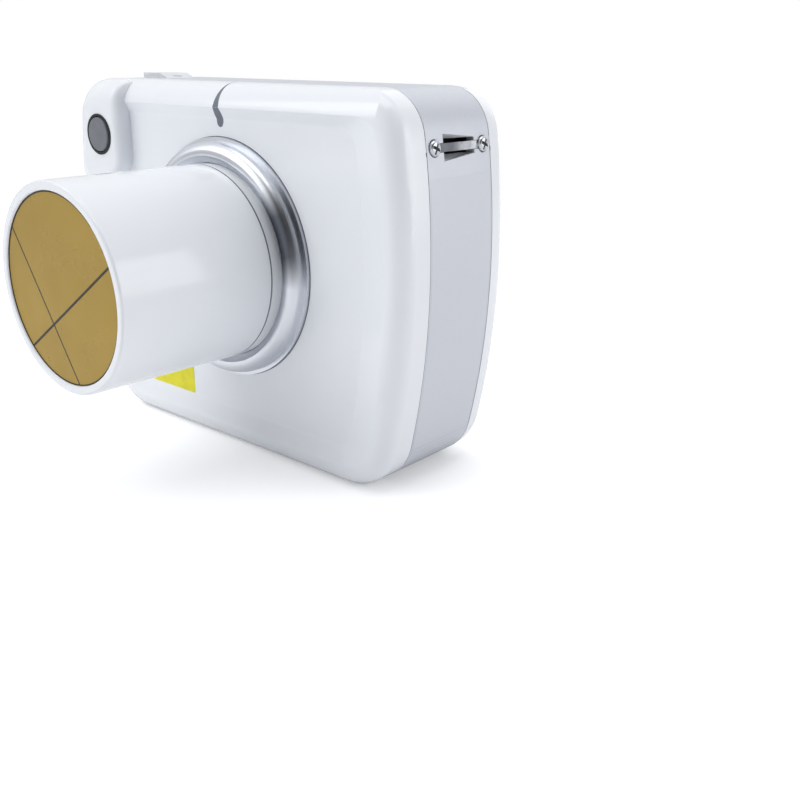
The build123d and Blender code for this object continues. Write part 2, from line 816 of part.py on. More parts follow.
# Brass tripod insert, its mouth flush with the base
with BuildPart() as tripod_insert:
    with BuildSketch(Plane.XY):
        Circle(insert_radius)
    extrude(amount=insert_height)
    with BuildSketch(Plane.XY):
        Circle(thread_diameter / 2)
    extrude(amount=thread_depth, mode=Mode.SUBTRACT)
finish(tripod_insert.part, "tripod_insert")


# Sealed tank with its cover
tank_height = tank_top - tank_base
with BuildPart() as tank_housing:
    extrude(block(across(tank_rear), 2 * tank_half_width, tank_height, 0, tank_base, tank_corner),
            amount=tank_depth)
    extrude(block(across(tank_rear), 2 * (tank_half_width - tank_wall), tank_height - 2 * tank_wall,
                  0, tank_base + tank_wall, tank_corner - tank_wall),
            amount=tank_depth - tank_wall, mode=Mode.SUBTRACT)
    extrude(disc(across(tank_front + tank_wall), filter_radius - window_seat), amount=tank_wall,
            mode=Mode.SUBTRACT)
    extrude(disc(across(tank_front + filter_thickness), filter_radius + seat_clearance),
            amount=filter_thickness, mode=Mode.SUBTRACT)
finish(tank_housing.part, "tank_housing")

with BuildPart() as tank_cover:
    extrude(block(across(tank_rear + cover_thickness), 2 * tank_half_width, tank_height, 0,
                  tank_base, tank_corner), amount=cover_thickness)
finish(tank_cover.part, "tank_cover")


# X-ray tube across the tank: glass envelope, slanted anode and cathode cup
tube_y = tank_front + tank_wall + tube_gap + tube_radius
tube_length = 2 * (tank_half_width - tank_wall - tube_neck_length - tube_end_gap)
tube_plane = Plane(origin=(0, tube_y, beam_height), x_dir=(0, 1, 0), z_dir=(1, 0, 0))
with BuildPart() as tube_envelope:
    with BuildSketch(tube_plane):
        Circle(tube_radius)
    extrude(amount=tube_length / 2, both=True)
    fillet(tube_envelope.faces().filter_by(Axis.X).edges(), glass_round)
    with BuildSketch(tube_plane):
        Circle(tube_neck)
    extrude(amount=tube_length / 2 + tube_neck_length, both=True)
    with BuildSketch(tube_plane):
        Circle(tube_radius - tube_glass)
    extrude(amount=tube_length / 2 - tube_glass, both=True, mode=Mode.SUBTRACT)
finish(tube_envelope.part, "tube_envelope")

anode_end = tube_length / 2 - tube_glass
anode_length = 2 * anode_end - cathode_length - electrode_gap
with BuildPart() as tube_anode:
    with BuildSketch(tube_plane.offset(anode_end)):
        Circle(anode_radius)
    extrude(amount=-anode_length)
    target = Plane(tube_plane.offset(anode_end - anode_length).origin,
                   x_dir=(0, 0, 1), z_dir=(-1, 0, 0))
    split(bisect_by=target.rotated((anode_slope, 0, 0)), keep=Keep.BOTTOM)
finish(tube_anode.part, "tube_anode")

with BuildPart() as tube_cathode:
    with BuildSketch(tube_plane.offset(-anode_end)):
        Circle(cathode_radius)
    extrude(amount=cathode_length)
    with BuildSketch(tube_plane.offset(cathode_length - anode_end)):
        SlotOverall(cathode_slot_length, cathode_slot_width)
    extrude(amount=-cathode_slot_depth, mode=Mode.SUBTRACT)
finish(tube_cathode.part, "tube_cathode")


# Transformer under the tube: laminated core and its coil, with the voltage board
core_base = tank_base + tank_wall + coil_clearance
core_height = beam_height - tube_radius - core_tube_gap - core_base
core_plane = across(tube_y + core_depth / 2)
window_width = (core_width - 3 * core_limb) / 2
window_height = core_height - 2 * core_limb
with BuildPart() as transformer_core:
    extrude(block(core_plane, core_width, core_height, 0, core_base), amount=core_depth)
    for x in (-1, 1):
        extrude(block(core_plane, window_width, window_height,
                      x * (core_limb + window_width) / 2, core_base + core_limb),
                amount=core_depth, mode=Mode.SUBTRACT)
finish(transformer_core.part, "transformer_core")

with BuildPart() as transformer_coil:
    with BuildSketch(Plane.XY.offset(core_base + core_limb + coil_clearance)):
        with Locations((0, tube_y)):
            RectangleRounded(core_limb + 2 * window_width - 2 * coil_clearance,
                             core_depth + 2 * coil_overhang, coil_overhang / 2)
            Rectangle(core_limb + 2 * coil_clearance, core_depth + 2 * coil_clearance,
                      mode=Mode.SUBTRACT)
    extrude(amount=window_height - 2 * coil_clearance)
finish(transformer_coil.part, "transformer_coil")

with BuildPart() as voltage_board:
    with BuildSketch(Plane.XY.offset(core_base)):
        with Locations((core_width / 2 + standoff, tube_y)):
            Rectangle(board_thickness, hv_board_depth)
    extrude(amount=core_height + hv_board_rise)
finish(voltage_board.part, "voltage_board")


# Chassis plate on the band's pads, with standoffs for the main board
main_board_base = chassis_margin + main_board_margin
main_board_width = chassis_waist - 2 * main_board_inset
main_board_height = chassis_height - 2 * main_board_margin
shoulder_base = cell_base + cell_length + chassis_corner
with BuildPart() as chassis_plate:
    back = chassis_face + chassis_thickness
    extrude(block(across(back), chassis_waist, chassis_height, 0, chassis_margin),
            amount=chassis_thickness)
    extrude(block(across(back), chassis_width, chassis_top - shoulder_base, 0, shoulder_base,
                  chassis_corner), amount=chassis_thickness)
    with BuildSketch(across(back + standoff)):
        with Locations((0, main_board_base + main_board_height / 2)):
            with GridLocations(main_board_width - 4 * post_radius,
                               main_board_height - 4 * post_radius, 2, 2):
                Circle(post_radius)
    extrude(amount=standoff)
    for height in screw_heights:
        for x in (-pad_x, pad_x):
            extrude(disc(across(back), chassis_screw_radius, x, height), amount=chassis_thickness,
                    mode=Mode.SUBTRACT)
finish(chassis_plate.part, "chassis_plate")

screw_number = 0
for height in screw_heights:
    for x in (-pad_x, pad_x):
        screw_number += 1
        with BuildPart() as chassis_screw:
            extrude(disc(across(back), chassis_screw_radius, x, height), amount=chassis_screw_length)
            extrude(disc(across(back + chassis_screw_rise), chassis_screw_head, x, height),
                    amount=chassis_screw_rise)
        finish(chassis_screw.part, "chassis_screw_" + str(screw_number))

with BuildPart() as main_board:
    extrude(block(across(main_board_face), main_board_width, main_board_height, 0,
                  main_board_base), amount=-board_thickness)
finish(main_board.part, "main_board")

with BuildPart() as buzzer:
    extrude(disc(behind(main_board_face + board_thickness), buzzer_radius, buzzer_x,
                 main_board_base + main_board_height - buzzer_drop),
            amount=buzzer_height)
finish(buzzer.part, "buzzer")


# Battery cells in a tray on each side of the tank
cell_pitch = 2 * cell_radius + cell_gap
tray_front = front_ceiling + tray_gap
tray_middle = tray_front + tray_half + cell_pitch / 2
cell_number = 0
for name, side in sides.items():
    with BuildPart() as battery_tray:
        with BuildSketch(Plane.XY.offset(cell_base - tray_wall)):
            with Locations((side * cell_x, tray_middle)):
                RectangleRounded(2 * tray_half, 2 * tray_half + cell_pitch, tray_wall)
        extrude(amount=tray_height)
        with BuildSketch(Plane.XY.offset(cell_base)):
            with Locations((side * cell_x, tray_middle)):
                with GridLocations(0, cell_pitch, 1, 2):
                    Circle(cell_radius + cell_clearance)
        extrude(amount=tray_height, mode=Mode.SUBTRACT)
        with BuildSketch(Plane.XY.offset(band_wall)):
            with Locations((side * (cell_x - foot_inset), 0)):
                Rectangle(foot_width, foot_depth)
        extrude(amount=cell_base - tray_wall - band_wall)
    finish(battery_tray.part, "battery_tray_" + name)
    for y in (-cell_pitch / 2, cell_pitch / 2):
        cell_number += 1
        with BuildPart() as battery_cell:
            with BuildSketch(Plane.XY.offset(cell_base)):
                with Locations((side * cell_x, tray_middle + y)):
                    Circle(cell_radius)
            extrude(amount=cell_length)
        finish(battery_cell.part, "battery_cell_" + str(cell_number))
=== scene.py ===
"""Looks of a hand-held intraoral x-ray unit, laid out as an add-on and run as a script.

The frame is that of the solids: +Z is up, the beam leaves towards -Y, and +X is to the right
for someone who looks at the cone. Shapes are worked out in millimetres and placed in metres.
"""
import json
import math

import bpy
import numpy as np
from bpy.props import FloatProperty, FloatVectorProperty, PointerProperty
from mathutils import Matrix, Vector
from mathutils.bvhtree import BVHTree


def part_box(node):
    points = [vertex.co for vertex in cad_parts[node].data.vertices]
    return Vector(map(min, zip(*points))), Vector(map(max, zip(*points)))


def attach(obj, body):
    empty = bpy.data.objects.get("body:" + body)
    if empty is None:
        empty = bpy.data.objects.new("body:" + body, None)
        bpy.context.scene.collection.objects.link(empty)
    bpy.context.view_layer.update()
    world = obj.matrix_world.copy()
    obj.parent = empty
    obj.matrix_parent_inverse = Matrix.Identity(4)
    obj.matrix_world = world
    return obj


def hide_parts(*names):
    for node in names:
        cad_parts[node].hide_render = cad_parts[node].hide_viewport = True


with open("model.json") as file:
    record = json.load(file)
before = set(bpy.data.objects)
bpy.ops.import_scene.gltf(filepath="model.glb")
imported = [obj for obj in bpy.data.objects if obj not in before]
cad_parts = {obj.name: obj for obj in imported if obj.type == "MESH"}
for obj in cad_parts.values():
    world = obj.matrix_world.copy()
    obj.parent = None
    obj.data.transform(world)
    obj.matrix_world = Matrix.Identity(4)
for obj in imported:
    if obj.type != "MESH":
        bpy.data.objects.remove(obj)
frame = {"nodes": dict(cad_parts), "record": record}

bl_info = {
    "name": "Intraoral x-ray unit",
    "version": (1, 0, 0),
    "blender": (4, 5, 0),
    "location": "3D View > Sidebar > X-ray unit",
    "description": "Dresses the solids of a hand-held intraoral x-ray unit",
    "category": "Object",
}

MM = 0.001
MICRON = 0.000001
TURN = 2 * math.pi
# How deep prints and plates start under their surface, in millimetres
SUNK = 0.03
SUNK_PLATE = 0.05


def tone(red, green, blue):
    """Linear colour with alpha, from three 0 to 255 values as a screen shows them."""
    values = np.array([red, green, blue]) / 255
    linear = np.where(values > 0.04045, ((values + 0.055) / 1.055) ** 2.4, values / 12.92)
    return (*linear.tolist(), 1.0)


def shade(colour, factor):
    """The same colour, lighter or darker by a factor."""
    return (*(min(1.0, value * factor) for value in colour[:3]), 1.0)


# Node materials


class Nodes:
    """A node tree, with short ways to add to it."""

    def __init__(self, tree):
        self.tree = tree

    def link(self, value, socket):
        self.tree.links.new(value, socket)

    def node(self, kind, **settings):
        """Adds a node with its settings."""
        made = self.tree.nodes.new("ShaderNode" + kind)
        for name, value in settings.items():
            setattr(made, name, value)
        return made

    def feed(self, kind, *values, out=0, **settings):
        """Adds a node, gives its inputs these values or links in order, and returns an output."""
        made = self.node(kind, **settings)
        for socket, value in zip(made.inputs, values):
            if isinstance(value, bpy.types.NodeSocket):
                self.link(value, socket)
            elif value is not None:
                socket.default_value = value
        return made.outputs[out]

    def vector(self, operation, *values, out="Vector"):
        return self.feed("VectorMath", *values, out=out, operation=operation)

    def times(self, first, second):
        return self.feed("Math", first, second, operation="MULTIPLY")

    def span(self, value, low, high, from_low=0.3, from_high=0.7):
        """Maps a value from one range to another, held inside it."""
        return self.feed("MapRange", value, from_low, from_high, low, high, clamp=True)


class Finish(Nodes):
    """A Principled shader, and the procedural nodes that feed it from Object coordinates."""

    def __init__(self, name, colour, roughness, metallic=0.0, **sockets):
        self.material = bpy.data.materials.new(name)
        self.material.use_nodes = True
        super().__init__(self.material.node_tree)
        self.shader = self.tree.nodes["Principled BSDF"]
        self.place = self.node("TexCoord").outputs["Object"]
        self.colour, self.roughness = tuple(colour), roughness
        sockets.update(Base_Color=self.colour, Roughness=roughness, Metallic=metallic)
        for socket, value in sockets.items():
            self.shader.inputs[socket.replace("_", " ")].default_value = value

    def stretched(self, scale, turn=(0, 0, 0)):
        """Object coordinates multiplied along each axis, after a turn in degrees."""
        turn = [math.radians(angle) for angle in turn]
        return self.feed("Mapping", self.place, None, turn, scale, vector_type="POINT")

    def noise(self, scale, detail, stretch=None):
        """Smooth noise, its scale in cells per metre."""
        place = self.stretched(stretch) if stretch else self.place
        return self.feed("TexNoise", place, None, scale, detail, out="Fac")

    def pattern(self, factor):
        """A factor may be a socket, or a noise's settings."""
        return self.noise(*factor) if isinstance(factor, tuple) else factor

    def waves(self, scale, direction, distortion=0.0):
        """Bands across one axis, in bands per metre."""
        return self.feed("TexWave", self.place, scale, distortion, out="Fac",
                         wave_type="BANDS", bands_direction=direction)

    def source(self, socket, otherwise=None):
        """What feeds one of the shader's inputs so far."""
        links = self.shader.inputs[socket].links
        return links[0].from_socket if links else otherwise

    def tint(self, factor, other):
        """Mixes the base colour towards another one by a factor."""
        # The node's seventh and eighth inputs are the two colours, its third output the mix
        pair = (self.source("Base Color", self.colour), other)
        mixed = self.feed("Mix", factor, *[None] * 5, *pair, out=2, data_type="RGBA")
        self.link(mixed, self.shader.inputs["Base Color"])
        return self

    def mottle(self, factor, share, darker, from_low=0.3, from_high=0.7):
        """Mixes in up to a share of a darker shade of the finish's own colour."""
        factor = self.pattern(factor)
        return self.tint(self.span(factor, 0.0, share, from_low, from_high),
                         shade(self.colour, darker))

    def rough(self, factor, low, high):
        """Lets the roughness follow a factor between two multiples of its own value."""
        low, high = self.roughness * low, min(1.0, self.roughness * high)
        self.link(self.span(self.pattern(factor), low, high), self.shader.inputs["Roughness"])
        return self

    def relief(self, factor, depth):
        """Raises the surface by a factor times a depth in metres, over what is raised so far."""
        factor = self.pattern(factor)
        raised = self.feed("Bump", 1.0, depth, None, factor, self.source("Normal"))
        self.link(raised, self.shader.inputs["Normal"])
        return self


def moulded(name, colour, roughness, peel=4 * MICRON):
    """Gloss moulding: a faint long ripple, a fine grain in the gloss and very slight toning."""
    return (Finish(name, colour, roughness, Specular_IOR_Level=0.5, Coat_Weight=0.25,
                   Coat_Roughness=0.06)
            .mottle((14, 3), 1.0, 0.965).rough((160, 4), 0.85, 1.25).relief((420, 2), peel))


def satin(name, colour, roughness, metallic):
    """Blasted metal: fine even speckle in colour, gloss and height, with faint drawn lines."""
    return (Finish(name, colour, roughness, metallic)
            .mottle((5200, 2), 0.6, 0.9).rough((900, 3), 0.85, 1.2)
            .relief((4200, 2), 3 * MICRON).relief((700, 2, (1, 1, 0.04)), 2 * MICRON))


def polished(name, colour, roughness):
    """Bright metal with faint polishing haze."""
    return (Finish(name, colour, roughness, 1.0)
            .rough((240, 4), 0.7, 1.5).mottle((60, 3), 0.5, 0.93).relief((700, 3), 1.2 * MICRON))


def turned(name, colour, roughness, middle, lip):
    """Metal turned about the beam's line: its gloss spreads across the tool's rings. A painted
    dark
    reflection is mixed into the base colour: a darker fan high on the right, inside the lip."""
    finish = Finish(name, colour, roughness, 1.0, Anisotropic=0.8)
    finish.mottle((60, 3), 0.4, 0.95).rough((900, 2), 0.95, 1.05)
    spoke = finish.vector("SUBTRACT", finish.place, middle)
    ring = finish.vector("CROSS_PRODUCT", spoke, (0, 1, 0))
    finish.link(ring, finish.shader.inputs["Tangent"])
    # Painted dark reflection: the base colour darkens in a fan high on the right, inside the lip
    flat = finish.vector("MULTIPLY", spoke, (1, 0, 1))
    rise = math.radians(20)
    dark_reflection_heading = (math.cos(rise), 0, math.sin(rise))
    fan = finish.vector("DOT_PRODUCT", finish.vector("NORMALIZE", flat), dark_reflection_heading, out="Value")
    reach = finish.vector("LENGTH", flat, out="Value")
    inside = finish.span(reach, 1.0, 0.3, lip - 2.6 * MM, lip - 0.4 * MM)
    share = finish.times(finish.span(fan, 0.0, 0.9, 0.90, 0.985), inside)
    return finish.tint(share, tone(62, 66, 76))


def matt(name, colour, roughness, grain=8 * MICRON, scale=2600, gloss=0.35):
    """Rubber or matt moulding with an even fine grain."""
    return (Finish(name, colour, roughness, Specular_IOR_Level=gloss)
            .mottle((scale / 12, 4), 1.0, 0.86).rough((scale / 3, 3), 0.9, 1.15)
            .relief((scale, 2), grain))


def gold_film(name, colour):
    """Gold-toned film: faint cloudy toning and a few shallow scuffs."""
    return (Finish(name, colour, 0.36, 0.15, Specular_IOR_Level=0.2)
            .mottle((45, 5), 0.8, 0.86).rough((120, 5), 2 / 3, 7 / 6)
            .relief((90, 3), 12 * MICRON).relief((1500, 3), 2 * MICRON))


def lit_screen(name, colour):
    """Back-lit screen under glass: an even glow with a fine grid of cells."""
    finish = Finish(name, shade(colour, 0.5), 0.12, Specular_IOR_Level=0.25,
                    Emission_Color=colour, Emission_Strength=0.3)
    grid = finish.times(finish.waves(900, "X"), finish.waves(900, "Z"))
    return finish.mottle(grid, 0.35, 0.7, 0.0, 1.0).rough((300, 2), 2 / 3, 4 / 3)


def printed_sheet(name, colour):
    """Smooth printed sheet: a cloudy ground and a faint grain."""
    finish = Finish(name, colour, 0.2, Specular_IOR_Level=0.2)
    finish.tint(finish.span(finish.noise(40, 4), 0.0, 0.4), tone(27, 27, 32))
    return finish.rough((300, 3), 0.8, 1.4).relief((1800, 2), 0.8 * MICRON)


def circuit(name, colour):
    """Lacquered board: a dense pattern of darker tracks and small pale pads."""
    finish = Finish(name, colour, 0.35, Coat_Weight=0.4)
    flat = finish.stretched((1, 1, 1), (90, 0, 0))
    tracks = finish.feed("TexBrick", flat, None, None, None, 260.0, 0.07, out="Fac",
                         offset=0.35, squash=1.4)
    pads = finish.feed("TexVoronoi", finish.place, None, 520.0, out="Distance")
    finish.tint(tracks, shade(colour, 0.5))
    finish.tint(finish.span(pads, 1.0, 0.0, 0.10, 0.16), tone(196, 186, 140))
    return finish.relief(pads, 40 * MICRON)


def wound(name, colour):
    """Layers of lacquered wire: fine bands with slight waver."""
    finish = Finish(name, colour, 0.3, 0.9)
    turns = finish.waves(800, "Z", 0.6)
    return finish.mottle(turns, 0.8, 0.45, 0.1, 0.6).relief(turns, 100 * MICRON)


def laminated(name, colour):
    """Stacked core sheets: thin bands across the beam."""
    finish = Finish(name, colour, 0.5, 0.85)
    sheets = finish.waves(1000, "Y")
    return finish.mottle(sheets, 0.7, 0.55, 0.1, 0.5).relief(sheets, 60 * MICRON)


def clear_glass(name, colour):
    """Sealed glass with a slight ripple."""
    return (Finish(name, colour, 0.02, Transmission_Weight=0.92, IOR=1.47)
            .rough((200, 2), 0.5, 2.5).relief((120, 2), 20 * MICRON))


def scarred(name, colour, roughness, metallic=1.0):
    """Plain cut metal: brushed lines, stains and small dents."""
    return (Finish(name, colour, roughness, metallic)
            .mottle((70, 5), 1.0, 0.7).rough((500, 4, (1, 1, 0.08)), 0.75, 1.3)
            .relief((1600, 3, (1, 1, 0.1)), 6 * MICRON))


# Meshes worked out as arrays


def numbered(rows, columns):
    """Grid of point numbers."""
    return np.arange(rows * columns).reshape(rows, columns)


def looped(index, axis):
    """The grid with its first row or column repeated at the end, so that it closes."""
    return np.concatenate([index, index.take([0], axis)], axis)


def quads(index):
    """Faces between neighbours in a grid of point numbers."""
    corners = [index[:-1, :-1], index[1:, :-1], index[1:, 1:], index[:-1, 1:]]
    return np.stack(corners, -1).reshape(-1, 4).tolist()


def full_turn(steps):
    return np.linspace(0, TURN, steps, endpoint=False)


def around(radius, angle, height):
    """Grid of points at each radius and each angle."""
    return np.stack([np.outer(radius, np.cos(angle)), np.outer(radius, np.sin(angle)),
                     np.broadcast_to(height, (len(radius), len(angle)))], -1)


def unit(rows):
    return rows / np.linalg.norm(rows, axis=-1, keepdims=True)


def outward(points, faces):
    """Turns the faces round if the closed shape's signed volume, summed over fans, is negative."""
    volume = 0.0
    for face in faces:
        corners = points[np.asarray(face)]
        volume += float((np.cross(corners[1:-1], corners[2:]) @ corners[0]).sum())
    return points, faces if volume >= 0 else [face[::-1] for face in faces]


def swept(points, closed=False):
    """Closed shape from a section's points at each step along a path."""
    index = looped(numbered(*points.shape[:2]), 1)
    faces = quads(looped(index, 0) if closed else index)
    if not closed:
        faces += [index[0, :-1].tolist(), index[-1, -2::-1].tolist()]
    return outward(points.reshape(-1, 3), faces)


def prism(outline, low, high):
    """Flat plate: an outline repeated at two heights."""
    levels = [np.column_stack([outline, np.full(len(outline), level)]) for level in (low, high)]
    return swept(np.stack(levels))


def bent(corners, radius, closed=False, steps=7):
    """Path through corners, each replaced by an arc that is tangent to both its runs."""
    corners = np.asarray(corners, float)
    path = []
    for index, here in enumerate(corners):
        if not closed and index in (0, len(corners) - 1):
            path.append(here[None])
            continue
        back = unit(corners[index - 1] - here)
        ahead = unit(corners[(index + 1) % len(corners)] - here)
        half = math.acos(float(np.clip(back @ ahead, -1, 1))) / 2
        # A circle's arc between the two tangent points, as a turn from one spoke to the other
        reach = radius / math.tan(half)
        middle = here + unit(back + ahead) * radius / math.sin(half)
        first, last = here + back * reach - middle, here + ahead * reach - middle
        spread = math.pi - 2 * half
        angle = np.linspace(0, spread, steps)[:, None]
        path.append(middle + (np.sin(spread - angle) * first + np.sin(angle) * last)
                    / math.sin(spread))
    return np.concatenate(path)


def stroke(path, width, low, high, closed=False):
    """Line of constant width: a four-cornered section carried along a flat path."""
    path = np.asarray(path, float)
    ahead = unit(np.roll(path, -1, 0) - path)
    behind = np.roll(ahead, 1, 0)
    if not closed:
        ahead[-1], behind[0] = behind[-1], ahead[0]
    tangent = unit(ahead + behind)
    # The section widens at a bend so that both runs keep their width
    widen = 1 / np.maximum(0.4, (tangent * ahead).sum(1))
    left = np.column_stack([-tangent[:, 1], tangent[:, 0]]) * (width / 2 * widen)[:, None]
    rows = [np.column_stack([path + side * left, np.full(len(path), level)])
            for side, level in ((-1, low), (-1, high), (1, high), (1, low))]
    return swept(np.stack(rows, 1), closed)


def oval(centre, radius_a, radius_b, start=0.0, end=360.0, steps=49, power=2.0):
    """Arc of a superellipse about a centre, from one angle to another in degrees."""
    angle = np.radians(np.linspace(start, end, steps))
    if end - start >= 360:
        angle = angle[:-1]
    cosine, sine = np.cos(angle), np.sin(angle)
    shape = 2 / power
    return np.column_stack([centre[0] + radius_a * np.sign(cosine) * np.abs(cosine) ** shape,
                            centre[1] + radius_b * np.sign(sine) * np.abs(sine) ** shape])


def slab(left, base, right, top, radius):
    """Rounded rectangle's outline."""
    return bent([(left, base), (right, base), (right, top), (left, top)], radius, True)


def lathe(profile, middle, steps=128):
    """Closed ring: a closed profile (radius, depth) turned about the beam's line."""
    radius, depth = np.asarray(profile, float).T
    points = around(radius, full_turn(steps), depth[:, None])
    return swept((points[:, :, (0, 2, 1)] + middle * (1, 0, 1)) * MM, True)


def cover(grid, normals, low, high):
    """Thin plate on a curved skin: a grid's rows out at one level along the normals and back at
    the other, as the section of a sweep."""
    levels = [grid + normals * low, (grid + normals * high)[:, ::-1]]
    return swept(np.concatenate(levels, 1) * MM)


def skin(node, starts, aims):
    """Where rays from points towards others meet a node, in millimetres, and the normals."""
    tree = BVHTree.FromObject(frame["nodes"][node], bpy.context.evaluated_depsgraph_get())
    hits = np.array([tree.ray_cast(Vector(start * MM), Vector(aim - start).normalized())[:2]
                     for start, aim in zip(starts, np.broadcast_to(aims, starts.shape))])
    return hits[:, 0] / MM, hits[:, 1]


def facing(side, across, beam, upward):
    """Function that stands flat shapes up on a side of the object, about a point: a to the right
    and b up, as seen by someone who looks at that side, and h out of the surface."""
    x, y = {"front": (1, 0), "right": (0, 1), "back": (-1, 0), "left": (0, -1)}[side]
    axes = np.array([(x, y, 0), (0, 0, 1), (y, -x, 0)], float)
    return lambda points: (points @ axes + (across, beam, upward)) * MM


class Prints:
    """Lines and filled outlines of one print, between two heights over its surface."""

    def __init__(self, low, high=None):
        self.low, self.high, self.shapes = low, high or proud(), []

    def line(self, path, width, closed=False):
        self.shapes.append(stroke(path, width, self.low, self.high, closed))

    def fill(self, outline, share=1.0):
        self.shapes.append(prism(outline, self.low, self.high * share))


def add(name, data):
    """Puts a new object into the scene."""
    made = bpy.data.objects.new(name, data)
    bpy.context.scene.collection.objects.link(made)
    return made


def piece(name, shapes, finish, place=None, body="housing", smooth=35.0):
    """Joins closed shapes, each points and faces, into one object that rides on a body. Placed
    shapes stand each a hair further out than the one before, so that no lids touch."""
    points, faces, start = [], [], 0
    for index, (corners, sides) in enumerate(shapes):
        points.append(place(corners + (0, 0, 0.002 * (index % 8))) if place else corners)
        faces += [(np.asarray(side) + start).tolist() for side in sides]
        start += len(corners)
    mesh = bpy.data.meshes.new(name)
    mesh.from_pydata(np.concatenate(points).tolist(), [], faces)
    mesh.validate()
    mesh.update()
    mesh.materials.append(finish.material)
    if smooth:
        mesh.shade_smooth()
        mesh.set_sharp_from_angle(angle=math.radians(smooth))
    made = add(name, mesh)
    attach(made, body)
    return made


def dress(nodes, finish):
    """Gives CAD nodes a finish in all their material slots."""
    for name in nodes:
        node = frame["nodes"][name]
        if not node.material_slots:
            node.data.materials.append(finish.material)
        for slot in node.material_slots:
            slot.material = finish.material


def coat(slot, maker, *settings):
    """Gives the CAD nodes of one material slot in the record a finish with the slot's name."""
    parts = frame["record"]["subparts"]
    finish = maker(slot, *settings)
    dress([part["node"] for part in parts if part["material_slot"] == slot], finish)
    return finish


def extent(box):
    """Low corner, high corner and middle of a node's box, in millimetres."""
    low, high = np.array(box) / MM
    return low, high, (low + high) / 2


# Settings


SWATCH = {"subtype": "COLOR", "size": 4, "min": 0, "max": 1}
LENGTH = {"unit": "LENGTH", "precision": 5}
LINE = {"min": 0.1 * MM, "max": 2 * MM, **LENGTH}


class XRAY_PG_colours(bpy.types.PropertyGroup):
    """Colours that a user would change."""

    shell: FloatVectorProperty(
        name="Shells", description="White of the shells and the cone",
        default=tone(240, 243, 248), **SWATCH)
    band: FloatVectorProperty(
        name="Band", description="Satin middle band", default=tone(206, 209, 217), **SWATCH)
    disc: FloatVectorProperty(
        name="Cone disc", description="Gold film in the cone's end",
        default=tone(172, 142, 62), **SWATCH)
    plate: FloatVectorProperty(
        name="Front plate", description="Yellow of the bare front plate",
        default=tone(234, 226, 30), **SWATCH)
    sign: FloatVectorProperty(
        name="Back plate", description="Amber of the three-cornered plate",
        default=tone(244, 188, 40), **SWATCH)
    keys: FloatVectorProperty(
        name="Rubber keys", description="Dark grey of the two keys",
        default=tone(82, 82, 86), **SWATCH)
    screen: FloatVectorProperty(
        name="Screen", description="Lit blue of the display",
        default=tone(48, 108, 190), **SWATCH)


class XRAY_PG_sizes(bpy.types.PropertyGroup):
    """Sizes that a user would change."""

    print_height: FloatProperty(
        name="Print height", description="How far prints and thin plates stand proud",
        default=0.04 * MM, min=0.01 * MM, max=0.3 * MM, **LENGTH)
    line_width: FloatProperty(
        name="Panel lines", description="Width of the lines printed on the key panel",
        default=0.5 * MM, **LINE)
    thin_line: FloatProperty(
        name="Thin disc line", description="Width of the thinner line across the cone disc",
        default=0.45 * MM, **LINE)
    thick_line: FloatProperty(
        name="Thick disc line", description="Width of the thicker line across the cone disc",
        default=0.7 * MM, **LINE)
    thread_pitch: FloatProperty(
        name="Thread pitch", description="Rise of the tripod thread in one turn",
        default=1.27 * MM, min=0.5 * MM, max=3 * MM, **LENGTH)


def colours():
    return bpy.context.scene.xray_colours


def sizes():
    return bpy.context.scene.xray_sizes


def proud():
    """How far prints stand out, in millimetres."""
    return sizes().print_height / MM


def add_camera():
    """Camera on a circle round the aim point, then moved across its own view."""
    azimuth, height, roll = (math.radians(angle) for angle in (40.25, 20.02, 0.55))
    aim = Vector((0.0, -29.05, 65.6)) * MM
    distance, across, upward = 312.2 * MM, 59.53 * MM, -46.05 * MM
    back = Vector((math.sin(azimuth) * math.cos(height),
                   -math.cos(azimuth) * math.cos(height), math.sin(height)))
    level = Vector((0, 0, 1)).cross(back).normalized()
    upright = back.cross(level)
    right = math.cos(roll) * level + math.sin(roll) * upright
    top = math.cos(roll) * upright - math.sin(roll) * level
    camera = add("camera", bpy.data.cameras.new("camera"))
    camera.data.sensor_width = 36.0
    camera.data.lens = 42.59
    camera.data.clip_start = 0.01
    camera.matrix_world = Matrix((right, top, back)).transposed().to_4x4()
    camera.location = aim + across * right + upward * top + distance * back
    bpy.context.scene.camera = camera


def add_floor():
    """Round floor: a grid of radius and angle, just under the base. It is pale near the
    object, a little lifted for the camera, and plain white further out."""
    rings, spokes, drop = 40, 64, 0.1 * MM
    radius = np.geomspace(0.05, 6.0, rings)
    angle = full_turn(spokes)
    points = around(radius, angle, -drop).reshape(-1, 3).tolist()
    mesh = bpy.data.meshes.new("floor")
    faces = [list(range(spokes))] + quads(looped(numbered(rings, spokes), 1))
    mesh.from_pydata(points, [], faces)
    finish = Finish("floor", tone(250, 250, 251), 0.9, Specular_IOR_Level=0.0)
    seen = finish.node("LightPath").outputs["Is Camera Ray"]
    distance = finish.vector("LENGTH", finish.place, out="Value")
    far = finish.times(finish.span(distance, 0.0, 1.0, 0.2, 0.6), seen)
    lift = finish.feed("MixShader", seen, None, finish.feed("Emission", None, 0.28))
    near = finish.feed("AddShader", finish.shader.outputs["BSDF"], lift)
    surface = finish.feed("MixShader", far, near, finish.feed("Emission"))
    finish.link(surface, finish.tree.nodes["Material Output"].inputs["Surface"])
    mesh.materials.append(finish.material)
    floor = add("floor", mesh)


